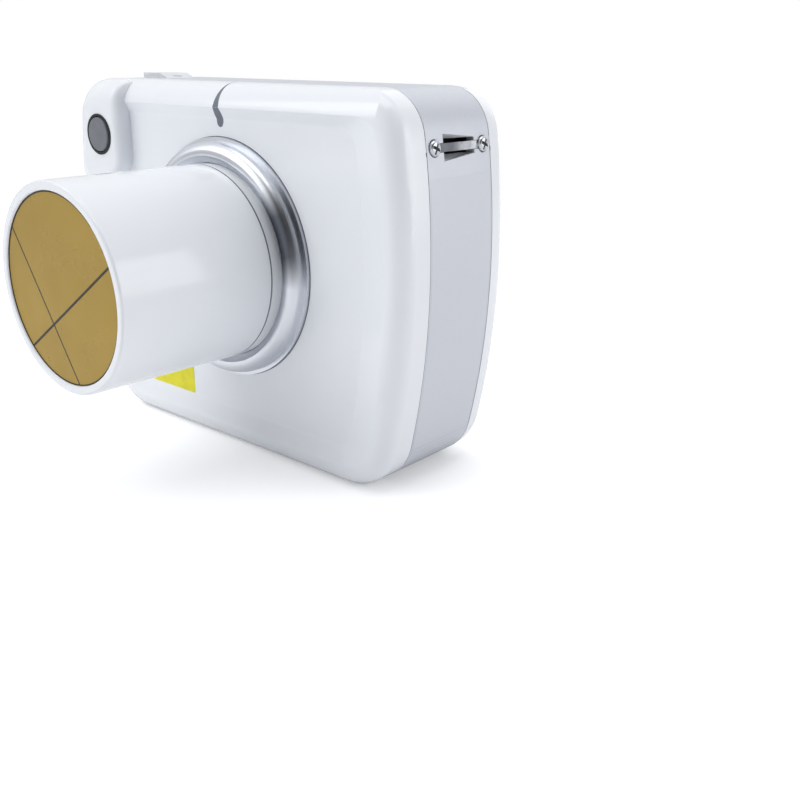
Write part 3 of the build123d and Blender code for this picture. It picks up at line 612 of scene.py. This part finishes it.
def add_lamps():
    """Large soft lamps, each aimed at the middle of the object."""
    middle = Vector((0.0, -20.0, 60.0)) * MM
    for name, place, size, power in (("lamp_key", (-0.35, -0.47, 0.57), 0.5, 1.5),
                                     ("lamp_top", (0.0, 0.0, 1.4), 1.0, 5.0),
                                     ("lamp_side", (1.0, 0.6, 0.3), 0.7, 2.9),
                                     ("lamp_back", (-0.2, 1.1, 0.7), 0.9, 1.2)):
        lamp = add(name, bpy.data.lights.new(name, "AREA"))
        lamp.data.energy = power
        lamp.data.size = size
        lamp.location = place
        lamp.rotation_euler = (middle - Vector(place)).to_track_quat("-Z", "Y").to_euler()


def add_surroundings():
    """World: brighter overhead and greyer low down, plain white where the camera sees it. A
    dark patch high on the right shows as the streak in the polished collar."""
    world = bpy.data.worlds.new("surroundings")
    world.use_nodes = True
    nodes = Nodes(world.node_tree)
    light = nodes.tree.nodes["Background"]
    light.inputs["Color"].default_value = (0.97, 0.985, 1.0, 1)
    direction = nodes.node("TexCoord").outputs["Generated"]
    height = nodes.feed("SeparateXYZ", direction, out="Z")
    patch = Vector((0.75, -0.35, 0.55)).normalized()
    nearness = nodes.vector("DOT_PRODUCT", direction, patch, out="Value")
    level = nodes.times(nodes.span(height, 0.53, 0.93, -0.3, 0.9),
                        nodes.span(nearness, 1.0, 0.10, 0.70, 0.88))
    nodes.link(level, light.inputs["Strength"])
    seen = nodes.node("LightPath").outputs["Is Camera Ray"]
    plain = nodes.feed("Background", (1, 1, 1, 1))
    surface = nodes.feed("MixShader", seen, light.outputs["Background"], plain)
    nodes.link(surface, nodes.tree.nodes["World Output"].inputs["Surface"])
    bpy.context.scene.world = world


class XRAY_OT_stage(bpy.types.Operator):
    """Floor, soft lamps, pale surroundings and the camera"""

    bl_idname = "xray.stage"
    bl_label = "Stage"

    def execute(self, context):
        add_camera()
        add_floor()
        add_lamps()
        add_surroundings()
        context.scene.view_settings.view_transform = "Standard"
        return {"FINISHED"}


def sight_strip():
    """Strip over the shell's top roll: its half width grows as a power of the way down, then
    closes as a superellipse does; the rays run to the roll's middle from a circle about it."""
    stations, columns, mark_x, ray_x = 64, 9, 0.3, 4.0
    widest, full_at, taper, closing, tip = 1.7, 0.78, 1.5, 2.6, 0.02
    dark = matt("grey_mark", tone(118, 124, 136), 0.5)
    dress(["sight_mark"], dark)
    low, high, _ = extent(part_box("front_shell"))
    # The rays pass beside the mark's own groove
    middle = np.array((ray_x, low[1] + 15.0, high[2] - 10.0))
    angle = np.radians(np.linspace(98, 201, stations))
    spokes = np.column_stack([np.zeros(stations), np.cos(angle), np.sin(angle)])
    points, normals = skin("front_shell", middle + 40 * spokes, middle)
    points, normals = points * (0, 1, 1), normals * (0, 1, 1)
    way = np.concatenate([[0], np.cumsum(np.linalg.norm(np.diff(points, axis=0), axis=1))])
    share = way / way[-1]
    swell = np.clip((share - full_at) / (1 - full_at), 0, 1)
    half = widest * np.minimum(share / full_at, 1) ** taper
    half = half * (1 - swell**closing) ** (1 / closing) + tip
    grid = np.repeat(points[:, None], columns, 1)
    grid[:, :, 0] = mark_x + half[:, None] * np.linspace(-1, 1, columns)
    made = piece("sight_strip", [cover(grid, normals[:, None], -0.3, 0.03)], dark)
    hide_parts("sight_mark")


class XRAY_OT_mouldings(bpy.types.Operator):
    """White shells and cone, the sight mark, the inlet cap and the trigger"""

    bl_idname = "xray.mouldings"
    bl_label = "Mouldings"

    def execute(self, context):
        coat("white_shell", moulded, colours().shell, 0.17)
        sight_strip()
        coat("soft_cap", moulded, tone(222, 226, 230), 0.42)
        coat("grey_cap", matt, tone(118, 122, 128), 0.38, 3 * MICRON)
        coat("black_bezel", matt, tone(17, 18, 21), 0.4, 2 * MICRON)
        return {"FINISHED"}


def seam_lines():
    """Dark lines in the two seams round the body: the band's outline, found by rays that run
    to its middle from a circle about it, as a thin ring just under the skin."""
    stations, far, inside, seam, plane = 360, 120, 0.22, 15.25, 13.8
    band = extent(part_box("middle_band"))[2]
    angle = full_turn(stations)
    spokes = np.column_stack([np.cos(angle), np.zeros(stations), np.sin(angle)])
    for name, side, colour in (("front", -1, tone(88, 92, 102)),
                               ("rear", 1, tone(150, 154, 163))):
        centre = np.array([0.0, side * plane, band[2]])
        points, normals = skin("middle_band", centre + far * spokes, centre)
        line = Prints(-seam * side - 0.17, -seam * side + 0.17)
        line.line((points - inside * normals)[:, [0, 2]], 0.36, True)
        piece("seam_" + name, line.shapes, matt("seam_" + name, colour, 0.6),
              facing("front", 0, 0, 0))


def joint_line(middle):
    """Thin dark ring where the cone meets its base ring."""
    deep, stand, half = 0.5, 0.02, 0.17
    joint = extent(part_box("cone_base"))[0][1]
    start = np.array([[80.0, joint - 0.8, middle[2]]])
    points, _ = skin("cone_tube", start, start * (0, 1, 1))
    inner, outer = points[0, 0] - middle[0] + np.array([-deep, stand])
    profile = [(inner, joint - half), (outer, joint - half), (outer, joint + half),
               (inner, joint + half)]
    piece("cone_joint_line", [lathe(profile, middle)],
          matt("joint_shadow", tone(120, 126, 138), 0.6))


class XRAY_OT_metalwork(bpy.types.Operator):
    """Satin band, polished collar, strap bars and brass insert"""

    bl_idname = "xray.metalwork"
    bl_label = "Metalwork"

    def execute(self, context):
        coat("satin_band", satin, colours().band, 0.4, 0.35)
        low, high, middle = extent(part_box("collar_ring"))
        radius = (high[0] - low[0]) / 2
        coat("polished_metal", turned, tone(222, 225, 231), 0.3, middle * MM, radius * MM)
        # Painted shade: a dark line in the corner between the collar's lip and the shell
        profile = oval((radius + 0.1, high[1] - 0.02), 0.14, 0.14, steps=9)
        piece("collar_painted_shade", [lathe(profile, middle)],
              matt("collar_painted_shade", tone(112, 118, 130), 0.6))
        joint_line(middle)
        seam_lines()
        steel = coat("bright_steel", polished, tone(206, 208, 212), 0.2)
        # Stains and painted mottled reflection, then a painted dark reflection of the pocket that
        # darkens the bars towards the front
        steel.tint(steel.span(steel.noise(420, 3), 0.0, 0.6), tone(120, 122, 130))
        beam = steel.feed("SeparateXYZ", steel.place, out="Y")
        steel.tint(steel.span(beam, 0.8, 0.0, -3 * MM, 4 * MM), tone(72, 74, 82))
        coat("thread_brass", scarred, tone(196, 162, 92), 0.3)
        return {"FINISHED"}


class XRAY_OT_inner_parts(bpy.types.Operator):
    """Finishes of the tank, tube, transformer, boards, chassis and cells"""

    bl_idname = "xray.inner_parts"
    bl_label = "Inner parts"

    def execute(self, context):
        for slot, maker, *settings in (
                ("lead", scarred, tone(112, 116, 122), 0.6, 0.8),
                ("bare_aluminium", scarred, tone(196, 198, 201), 0.35),
                ("tank_paint", matt, tone(150, 154, 158), 0.42, 10 * MICRON, 1400),
                ("tube_glass", clear_glass, tone(238, 245, 244)),
                ("copper", wound, tone(190, 112, 66)),
                ("plain_steel", scarred, tone(160, 162, 166), 0.4),
                ("core_iron", laminated, tone(96, 98, 102)),
                ("circuit_board", circuit, tone(28, 92, 58)),
                ("black_plastic", matt, tone(34, 34, 37), 0.45),
                ("cell_sleeve", moulded, tone(70, 120, 168), 0.25)):
            coat(slot, maker, *settings)
        return {"FINISHED"}


class XRAY_OT_window(bpy.types.Operator):
    """Gold disc in the cone's end, its dark rim and the two crossing lines"""

    bl_idname = "xray.window"
    bl_label = "Cone window"

    def execute(self, context):
        dress(["cone_window"], gold_film("gold_disc", colours().disc))
        low, high, middle = extent(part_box("cone_window"))
        radius = (high[0] - low[0]) / 2
        edge = radius - 0.15
        lines = Prints(-SUNK_PLATE)
        for width, angles in ((sizes().thin_line, (146.0, 279.5)),
                              (sizes().thick_line, (22.0, 226.4))):
            ends = oval((0, 0), edge, edge, *angles, 2)
            lines.line(np.linspace(*ends, 9), width / MM)
        piece("window_lines", lines.shapes, matt("line_ink", tone(38, 32, 26), 0.4, 2 * MICRON),
              facing("front", middle[0], low[1], middle[2]))
        # Half-round bead in the corner between the disc and the cone's rim
        profile = oval((radius - 0.02, low[1]), 0.22, 0.22, 180, 360, 9)
        piece("window_seal", [lathe(profile, middle)],
              matt("seal_rubber", tone(46, 40, 34), 0.5))
        return {"FINISHED"}


# Strap screws: how far a head stands out, how deep its cross goes and how far it is turned
HEAD_RISE, RECESS, TILT = 1.2, 0.85, 0.35


def strap_pockets():
    """Wedges that slope from the skin down to the pocket behind each bar, and a near-black sheet
    inside it as painted shade. The stated opening of the strap lies between the wedges and stays
    free."""
    length, deep, inner_edge, front_edge, back_edge = 7.25, 2.6, 2.25, 3.75, 2.28
    walls = satin("pocket_wall", colours().band, 0.45, 0.2)
    # Near-black matt for the painted shade inside the pockets
    dark = matt("pocket_painted_shade", tone(12, 12, 15), 0.7)
    for side, sign in (("left", -1), ("right", 1)):
        low, high, middle = extent(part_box("strap_bar_" + side))
        middle, face = middle[2], high[0] if sign > 0 else low[0]
        wedges = []
        for up in (1, -1):
            outer = np.array([(face, -length, middle + front_edge * up),
                              (face, length, middle + back_edge * up)])
            starts = outer * (0, 0, 1) + (sign * 90, -8.3, 0)
            outer[:, 0] = skin("middle_band", starts, starts * (0, 1, 1))[0][:, 0] - 0.06 * sign
            inner = np.array([(face - deep * sign, end, middle + inner_edge * up)
                              for end in (-length, length)])
            back = np.column_stack([inner[:, 0], outer[:, 1:]])
            wedges.append(swept(np.stack([outer, inner, back], 1) * MM))
        piece("pocket_walls_" + side, wedges, walls, smooth=0)
        # Painted shade: a near-black floor and walls inside each pocket
        mouth = [(-7.15, -2.33), (7.15, -2.33), (7.15, 2.33), (-7.15, 2.33)]
        shade_lining = [prism(mouth, -6.35, -6.2), stroke(mouth, 0.15, -6.3, -2.65, True)]
        piece("pocket_shade_lining_" + side, shade_lining, dark,
              facing(side, face, 0, middle), smooth=0)


def screw_head(reach, rows=39, sides=96):
    """Height over a disc: a flat crown that rolls into the edge, less a cross that deepens
    towards the middle; the rim goes down to the seat and a flat lid closes it."""
    half_arm, arm_slope, arm_reach, end_slope = 0.42, 0.16, 1.75, 0.4
    angle = full_turn(sides)
    radius = reach * np.sin(np.linspace(0, 1, rows + 1)[1:] * math.pi / 2)
    crown = HEAD_RISE * (1 - (radius / reach) ** 5) ** 0.42
    # Distances from the cross's two lines: the lesser runs across an arm, the greater along it
    arm, wide = np.sort(np.abs(around(radius, angle + TILT, 0)[..., :2])).transpose(2, 0, 1)
    cut = np.clip((half_arm - arm) / arm_slope, 0, 1)
    cut = cut * np.clip((arm_reach - wide) / end_slope, 0, 1)
    depth = RECESS * cut * (1 - 0.35 * wide / arm_reach)
    height = np.maximum(crown[:, None] - depth, 0.02)
    height[-1] = 0.0
    points = np.concatenate([[[0, 0, HEAD_RISE - RECESS]],
                             around(radius, angle, height).reshape(-1, 3)])
    index = looped(numbered(rows, sides) + 1, 1)
    fan = np.column_stack([np.zeros(sides, int), index[0, :-1], index[0, 1:]]).tolist()
    return outward(points, fan + quads(index) + [index[-1, -2::-1].tolist()])


class XRAY_OT_strap_screws(bpy.types.Operator):
    """Pan-head screws with a cross recess, and the sloped dark pockets behind the strap bars"""

    bl_idname = "xray.strap_screws"
    bl_label = "Strap screws and pockets"

    def execute(self, context):
        steel = polished("screw_steel", tone(200, 202, 207), 0.2)
        shadow = matt("recess_shadow", tone(34, 34, 38), 0.6)
        arm_reach, arm_width = 1.45, 0.48
        for number in range(1, 5):
            name = "strap_screw_" + str(number)
            low, high, middle = extent(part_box(name))
            side, seat = (("right", high[0] - HEAD_RISE) if low[0] > 0 else
                          ("left", low[0] + HEAD_RISE))
            place = facing(side, seat, middle[1], middle[2])
            made = piece("pan_head_" + str(number), [screw_head((high[1] - low[1]) / 2)], steel,
                         place, smooth=50.0)
            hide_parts(name)
            arms = Prints(HEAD_RISE - 0.9, HEAD_RISE - 0.3)
            for turn in (-TILT, math.radians(90) - TILT):
                tip = arm_reach * np.array([math.cos(turn), math.sin(turn)])
                arms.line([-tip, tip], arm_width)
            piece("recess_" + str(number), arms.shapes, shadow, place)
        strap_pockets()
        return {"FINISHED"}


def side_plate():
    """Bare plate on the band's right side: the skin's line down the side, swept along the
    beam."""
    stations, columns, half_width = 64, 5, 14.2
    starts = np.linspace((90.0, 0.0, 6.5), (90.0, 0.0, 97.0), stations)
    points, normals = skin("middle_band", starts, starts * (0, 1, 1))
    grid = np.repeat(points[:, None], columns, 1)
    grid[:, :, 1] = np.linspace(-half_width, half_width, columns)
    plate = cover(grid, normals[:, None], -SUNK_PLATE, proud() / 2)
    piece("side_plate", [plate], satin("side_plate", shade(colours().band, 1.06), 0.34, 0.1))


class XRAY_OT_plates(bpy.types.Operator):
    """Bare yellow plates on the front and the back, and the bare plate along the band's side"""

    bl_idname = "xray.plates"
    bl_label = "Bare plates"

    def execute(self, context):
        yellow = matt("plate_yellow", colours().plate, 0.35, 2 * MICRON)
        amber = matt("plate_amber", colours().sign, 0.35, 2 * MICRON)
        edge = matt("plate_edge", tone(52, 42, 24), 0.4, 2 * MICRON)
        # The dished face lies where the collar is seated, the rear face behind the panel frame
        front_face = extent(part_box("collar_ring"))[1][1]
        back_face = extent(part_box("rear_shell"))[1][1] - 1.1
        back = facing("back", 0, back_face, 0)
        front_plate = prism(slab(-47, 13.1, -22, 24.5, 0.6), -SUNK_PLATE, proud() * 2)
        piece("front_plate", [front_plate], yellow,
              facing("front", 0, front_face, 0))
        corners = bent([(-51.25, 12.1), (-39.15, 12.1), (-45.2, 22.5)], 0.7, True)
        piece("rear_plate", [prism(corners, -SUNK_PLATE, proud() * 2)], amber, back)
        rim = bent([(-50.6, 12.5), (-39.8, 12.5), (-45.2, 21.8)], 0.4, True)
        piece("rear_plate_rim", [stroke(rim, 0.6, 0, proud() * 3, True)], edge,
              back)
        side_plate()
        return {"FINISHED"}


def panel_lines():
    """Border, the four curved links between key groups, and the key frames."""
    made = Prints(-SUNK)

    def line(corners, radius):
        made.line(bent(corners, radius), sizes().line_width / MM)

    made.line(slab(-39.3, 37.6, 39.3, 101.8, 2.2), sizes().line_width / MM, True)
    line([(-24.2, 96.2), (-33.5, 96.2), (-33.5, 81.0)], 4.5)
    line([(-33.2, 69.9), (-33.2, 54.4), (-24.0, 54.4)], 4.5)
    line([(24.0, 96.2), (33.6, 96.2), (33.6, 86.3)], 4.5)
    line([(33.5, 63.6), (33.5, 54.2), (24.0, 54.2)], 4.5)
    made.line(slab(-38.1, 70.1, -28.3, 80.6, 1.8), 0.55, True)
    line([(28.7, 78.5), (28.7, 85.9), (38.6, 85.9), (38.6, 78.5)], 1.5)
    line([(28.7, 71.6), (28.7, 64.0), (38.6, 64.0), (38.6, 71.6)], 1.5)
    made.line([(29.4, 75.1), (37.9, 75.1)], 0.85)
    line([(-8.5, 48.8), (-24.4, 48.8), (-24.4, 39.4), (-8.5, 39.4)], 1.9)
    line([(9.6, 48.7), (25.8, 48.7), (25.8, 39.2), (9.6, 39.2)], 1.9)
    made.line([(0.6, 48.9), (0.6, 39.3)], 0.9)
    return made


def root_outline(middle, neck, half_neck, half_tip, length, power):
    """Outline of a tooth's root: half its width is one less a power of the way to the tip."""
    share = np.linspace(0, 1, 12)
    half = half_neck * (1 - share**power) + half_tip
    right = np.column_stack([middle + half, neck + length * share])
    left = np.column_stack([middle - half, neck + length * share])
    return np.concatenate([right, left[::-1]])


def teeth():
    """Crowns and roots: a root narrows from its neck as one less a power of the height, and a
    crown is a superellipse; lower teeth are the same shapes turned over."""
    crowns, roots = Prints(-SUNK), Prints(-SUNK)
    for tip, edge, flip in ((100.2, 92.3, 1), (50.7, 59.1, -1)):
        neck = edge + flip * 3.1
        length = abs(tip - neck)

        def root(middle, width, part=1.0):
            roots.fill(root_outline(middle, neck, width / 2, 0.06, flip * length * part, 2.2))

        def crown(middle, width, tall=1.75, power=3.2, notch=0.0):
            outline = oval((middle, edge + flip * tall * 0.94), width / 2, tall, power=power)
            bite = notch * np.clip(1 - np.abs(outline[:, 0] - middle) / 0.8, 0, 1)
            outline[:, 1] += flip * bite * (np.abs(outline[:, 1] - edge) < tall)
            crowns.fill(outline, 1.6)

        root(-19.3, 2.9)
        crown(-19.3, 3.6)
        root(-6.6, 2.9)
        crown(-6.6, 3.8, tall=1.6, power=2.6)
        crowns.fill(oval((-6.3, edge - flip * 0.15), 0.75, 0.8), 1.6)
        root(5.5, 1.7, 0.95)
        root(7.2, 1.7, 0.95)
        crown(6.35, 5.0, power=3.6, notch=0.5)
    for across in (18.0, 20.3):
        for upward, tip in ((98.1, 101.9), (95.0, 91.2)):
            crowns.fill(oval((across, upward), 0.95, 1.05))
            base = upward + np.sign(tip - upward) * 1.3
            roots.fill([(across - 0.65, base), (across, tip), (across + 0.65, base)])
    return crowns, roots


def panel_symbols():
    """Two figures, two arrow heads, power mark, toothed wheel and the arrow at the bar."""
    made = Prints(-SUNK)
    for middle, base, tall in ((-34.8, 71.9, 7.1), (-31.4, 71.9, 5.6)):
        made.fill(oval((middle, base + tall * 0.9), tall * 0.105, tall * 0.105))
        made.fill(slab(middle - tall * 0.13, base + tall * 0.42, middle + tall * 0.13,
                       base + tall * 0.78, tall * 0.06))
        for side in (-1, 1):
            leg = middle + side * tall * 0.07
            made.fill(slab(leg - tall * 0.045, base, leg + tall * 0.045, base + tall * 0.45,
                           tall * 0.03))
            made.line([(middle + side * tall * 0.17, base + tall * 0.74),
                       (middle + side * tall * 0.2, base + tall * 0.4)], tall * 0.07)
    for tip, base in ((82.2, 80.2), (67.4, 69.4)):
        made.line(bent([(31.9, base), (33.7, tip), (35.5, base)], 0.2), 0.55)
    made.line(oval((-16.4, 43.8), 2.45, 2.45, 118, 422), 0.6)
    made.line([(-16.4, 44.2), (-16.4, 46.9)], 0.6)
    # Eight flat-topped teeth: a cosine wave round the hub, cut off above and below
    angle = full_turn(144)
    rim = 2.25 + 0.42 * np.clip(2.2 * np.cos(8 * angle), -1, 1)
    made.line(np.column_stack([17.5 + rim * np.cos(angle), 43.9 + rim * np.sin(angle)]), 0.4,
              True)
    made.fill(oval((17.5, 43.9), 1.2, 1.2))
    made.line([(21.1, 51.4), (21.1, 57.4)], 0.75)
    made.line([(17.2, 54.0), (19.6, 54.0)], 0.5)
    made.fill([(19.2, 55.0), (20.6, 54.0), (19.2, 53.0)])
    return made


class XRAY_OT_key_panel(bpy.types.Operator):
    """Printed black key panel with its lines, key frames and tooth symbols"""

    bl_idname = "xray.key_panel"
    bl_label = "Key panel"

    def execute(self, context):
        dress(["key_panel"], printed_sheet("black_panel", tone(20, 20, 24)))
        place = facing("back", 0, extent(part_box("key_panel"))[1][1], 0)
        pale = matt("print_pale", tone(176, 178, 182), 0.45, MICRON)
        white = matt("print_white", tone(236, 237, 238), 0.45, MICRON)
        grey = matt("print_grey", tone(128, 130, 134), 0.45, MICRON)
        crowns, roots = teeth()
        for name, prints, ink in (("panel_lines", panel_lines(), pale),
                                  ("tooth_crowns", crowns, white), ("tooth_roots", roots, grey),
                                  ("panel_symbols", panel_symbols(), pale)):
            piece(name, prints.shapes, ink, place)
        return {"FINISHED"}


def screen_reading():
    """Number and unit as strokes: a nought is a superellipse, a nine is a loop on the lower
    right part of one, and the small letters are arcs about their middles."""
    base, tall, wide, thick = 65.6, 9.0, 5.6, 1.1
    half, rise = (wide - thick) / 2, (tall - thick) / 2
    made = Prints(0.0)
    for middle in (-6.7, 10.3):
        made.line(oval((middle, base + tall / 2), half, rise, power=2.3), thick, True)
    made.fill(slab(-1.65, base, -0.6, base + 1.05, 0.15))
    made.line(oval((3.3, base + tall * 0.665), half, tall * 0.335 - thick / 2), thick, True)
    made.line(oval((3.3, base + tall / 2), half, rise, -158, 12, power=2.3), thick)
    small, thin = 1.45, 0.72
    middle = base + small
    made.line(np.concatenate([oval((16.5, middle + 0.68), 0.9, 0.68, 40, 270, 15),
                              oval((16.5, middle - 0.68), 0.9, 0.68, 90, -140, 15)]), thin)
    made.line(oval((19.4, middle), 1.15, small, 2, 318, 31), thin)
    made.line([(18.3, middle), (20.5, middle)], thin)
    made.line(oval((22.5, middle), 1.1, small, 48, 312, 31), thin)
    return made


def screen_symbols():
    """Cone mark, broken ring, cell with four bars and two filled squares."""
    made = Prints(0.0)
    made.fill(slab(-21.1, 82.6, -19.3, 87.2, 0.7))
    made.fill(slab(-23.2, 84.6, -21.0, 85.7, 0.3))
    made.line([(-19.6, 84.6), (-18.4, 84.6)], 0.9)
    for start in (10, 130, 250):
        made.line(oval((-7.3, 84.4), 2.45, 2.45, start, start + 108, 19), 0.55)
    made.line(slab(16.8, 82.4, 24.3, 87.4, 0.8), 0.65, True)
    made.line([(15.9, 83.7), (15.9, 86.1)], 0.8)
    for across in (18.4, 19.9, 21.4, 22.9):
        made.fill(slab(across - 0.4, 83.6, across + 0.4, 86.2, 0.1))
    made.fill(slab(17.1, 73.5, 24.0, 80.4, 1.7))
    made.fill(slab(-25.2, 65.0, -15.7, 75.0, 2.0))
    return made


def screen_shapes():
    """Paler marks on the filled squares: a tooth in three parts and a small flag."""
    made = Prints(0.0, proud() * 2)
    made.fill(root_outline(-20.5, 70.6, 1.25, 0.1, 3.2, 2))
    made.fill(slab(-21.7, 68.9, -19.3, 70.3, 0.3))
    made.fill(slab(-21.8, 66.2, -19.2, 68.6, 0.6))
    made.fill(slab(19.7, 75.4, 21.6, 78.6, 0.3))
    return made


class XRAY_OT_display(bpy.types.Operator):
    """Silver frame and lit blue screen with its reading and symbols"""

    bl_idname = "xray.display"
    bl_label = "Display"

    def execute(self, context):
        dress(["lcd_frame"], moulded("display_frame", tone(208, 216, 219), 0.3, 1.5 * MICRON))
        dress(["lcd_module"], lit_screen("blue_display", colours().screen))
        place = facing("back", 0, extent(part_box("lcd_module"))[1][1], 0)
        ink = matt("screen_ink", tone(2, 46, 112), 0.6, 0.5 * MICRON, gloss=0.1)
        mist = matt("screen_mist", tone(72, 120, 188), 0.45, 0.5 * MICRON)
        for name, prints, colour in (("reading", screen_reading(), ink),
                                     ("symbols", screen_symbols(), ink),
                                     ("shapes", screen_shapes(), mist)):
            piece("screen_" + name, prints.shapes, colour, place)
        return {"FINISHED"}


def ring_mark():
    """Two half ovals and a bar in a ring."""
    mark = Prints(-SUNK_PLATE)
    mark.line(oval((0, 0), 5.0, 5.0), 0.4, True)
    mark.line(oval((-0.7, 0), 1.6, 2.7, 90, 270), 0.35)
    mark.line(oval((0.7, 0), 1.6, 2.7, -90, 90), 0.35)
    mark.line([(0, -4.9), (0, 4.9)], 0.3)
    return mark


def arrow_mark():
    """Notched arrow in a square."""
    mark = Prints(-SUNK_PLATE)
    mark.line(slab(-5, -4.7, 5, 4.7, 0.4), 0.4, True)
    corners = [(-2.9, -3.0), (0.9, -3.0), (3.1, 0.0), (0.9, 3.0), (-2.9, 3.0), (-1.7, 1.6),
               (-1.7, -1.6)]
    mark.line(bent(corners, 0.2, True), 0.4, True)
    return mark


class XRAY_OT_rubber_keys(bpy.types.Operator):
    """Dark rubber keys with their raised line symbols"""

    bl_idname = "xray.rubber_keys"
    bl_label = "Rubber keys"

    def execute(self, context):
        coat("key_rubber", matt, colours().keys, 0.62, 12 * MICRON, 3200)
        ink = matt("key_mark", shade(colours().keys, 0.62), 0.5, 4 * MICRON)
        for node, body in (("rear_key_left", "left_key"), ("rear_key_right", "right_key")):
            _, high, middle = extent(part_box(node))
            mark = ring_mark() if middle[0] > 0 else arrow_mark()
            piece(node + "_mark", mark.shapes, ink,
                  facing("back", middle[0], high[1], middle[2]), body)
        return {"FINISHED"}


class XRAY_OT_tripod_thread(bpy.types.Operator):
    """Thread in the brass insert under the base"""

    bl_idname = "xray.tripod_thread"
    bl_label = "Tripod thread"

    def execute(self, context):
        pitch = sizes().thread_pitch / MM
        turns, steps, start = 5, 56, 0.6
        # A ridge that points inwards, sunk a little into the bore at its root
        root, crest, half_root, half_crest = 3.25, 2.6, 0.378, 0.0945
        radius = np.array([root, root, crest, crest])
        offset = np.array([-half_root, half_root, half_crest, -half_crest]) * pitch
        along = np.linspace(0, turns, turns * steps + 1)
        ridge = around(radius, along * TURN, start + along * pitch + offset[:, None])
        piece("tripod_thread", [swept(ridge.transpose(1, 0, 2) * MM)],
              scarred("thread_ridge", tone(190, 156, 88), 0.3))
        return {"FINISHED"}


OPERATORS = (XRAY_OT_stage, XRAY_OT_mouldings, XRAY_OT_metalwork, XRAY_OT_inner_parts,
             XRAY_OT_window, XRAY_OT_strap_screws, XRAY_OT_plates, XRAY_OT_key_panel,
             XRAY_OT_display, XRAY_OT_rubber_keys, XRAY_OT_tripod_thread)


class XRAY_PT_sidebar(bpy.types.Panel):
    """Lists the settings and the steps"""

    bl_idname = "XRAY_PT_sidebar"
    bl_label = "X-ray unit"
    bl_space_type = "VIEW_3D"
    bl_region_type = "UI"
    bl_category = "X-ray unit"

    def draw(self, context):
        for group in (context.scene.xray_colours, context.scene.xray_sizes):
            box = self.layout.box()
            for name in group.__annotations__:
                box.prop(group, name)
        for operator in OPERATORS:
            self.layout.operator(operator.bl_idname)


CLASSES = (XRAY_PG_colours, XRAY_PG_sizes, *OPERATORS, XRAY_PT_sidebar)


def register():
    for item in CLASSES:
        bpy.utils.register_class(item)
    bpy.types.Scene.xray_colours = PointerProperty(type=XRAY_PG_colours)
    bpy.types.Scene.xray_sizes = PointerProperty(type=XRAY_PG_sizes)


def unregister():
    del bpy.types.Scene.xray_sizes
    del bpy.types.Scene.xray_colours
    for item in reversed(CLASSES):
        bpy.utils.unregister_class(item)


def main():
    """Runs every step in order."""
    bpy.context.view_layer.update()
    register()
    for operator in OPERATORS:
        group, name = operator.bl_idname.split(".")
        getattr(getattr(bpy.ops, group), name)()


if __name__ == "__main__":
    main()
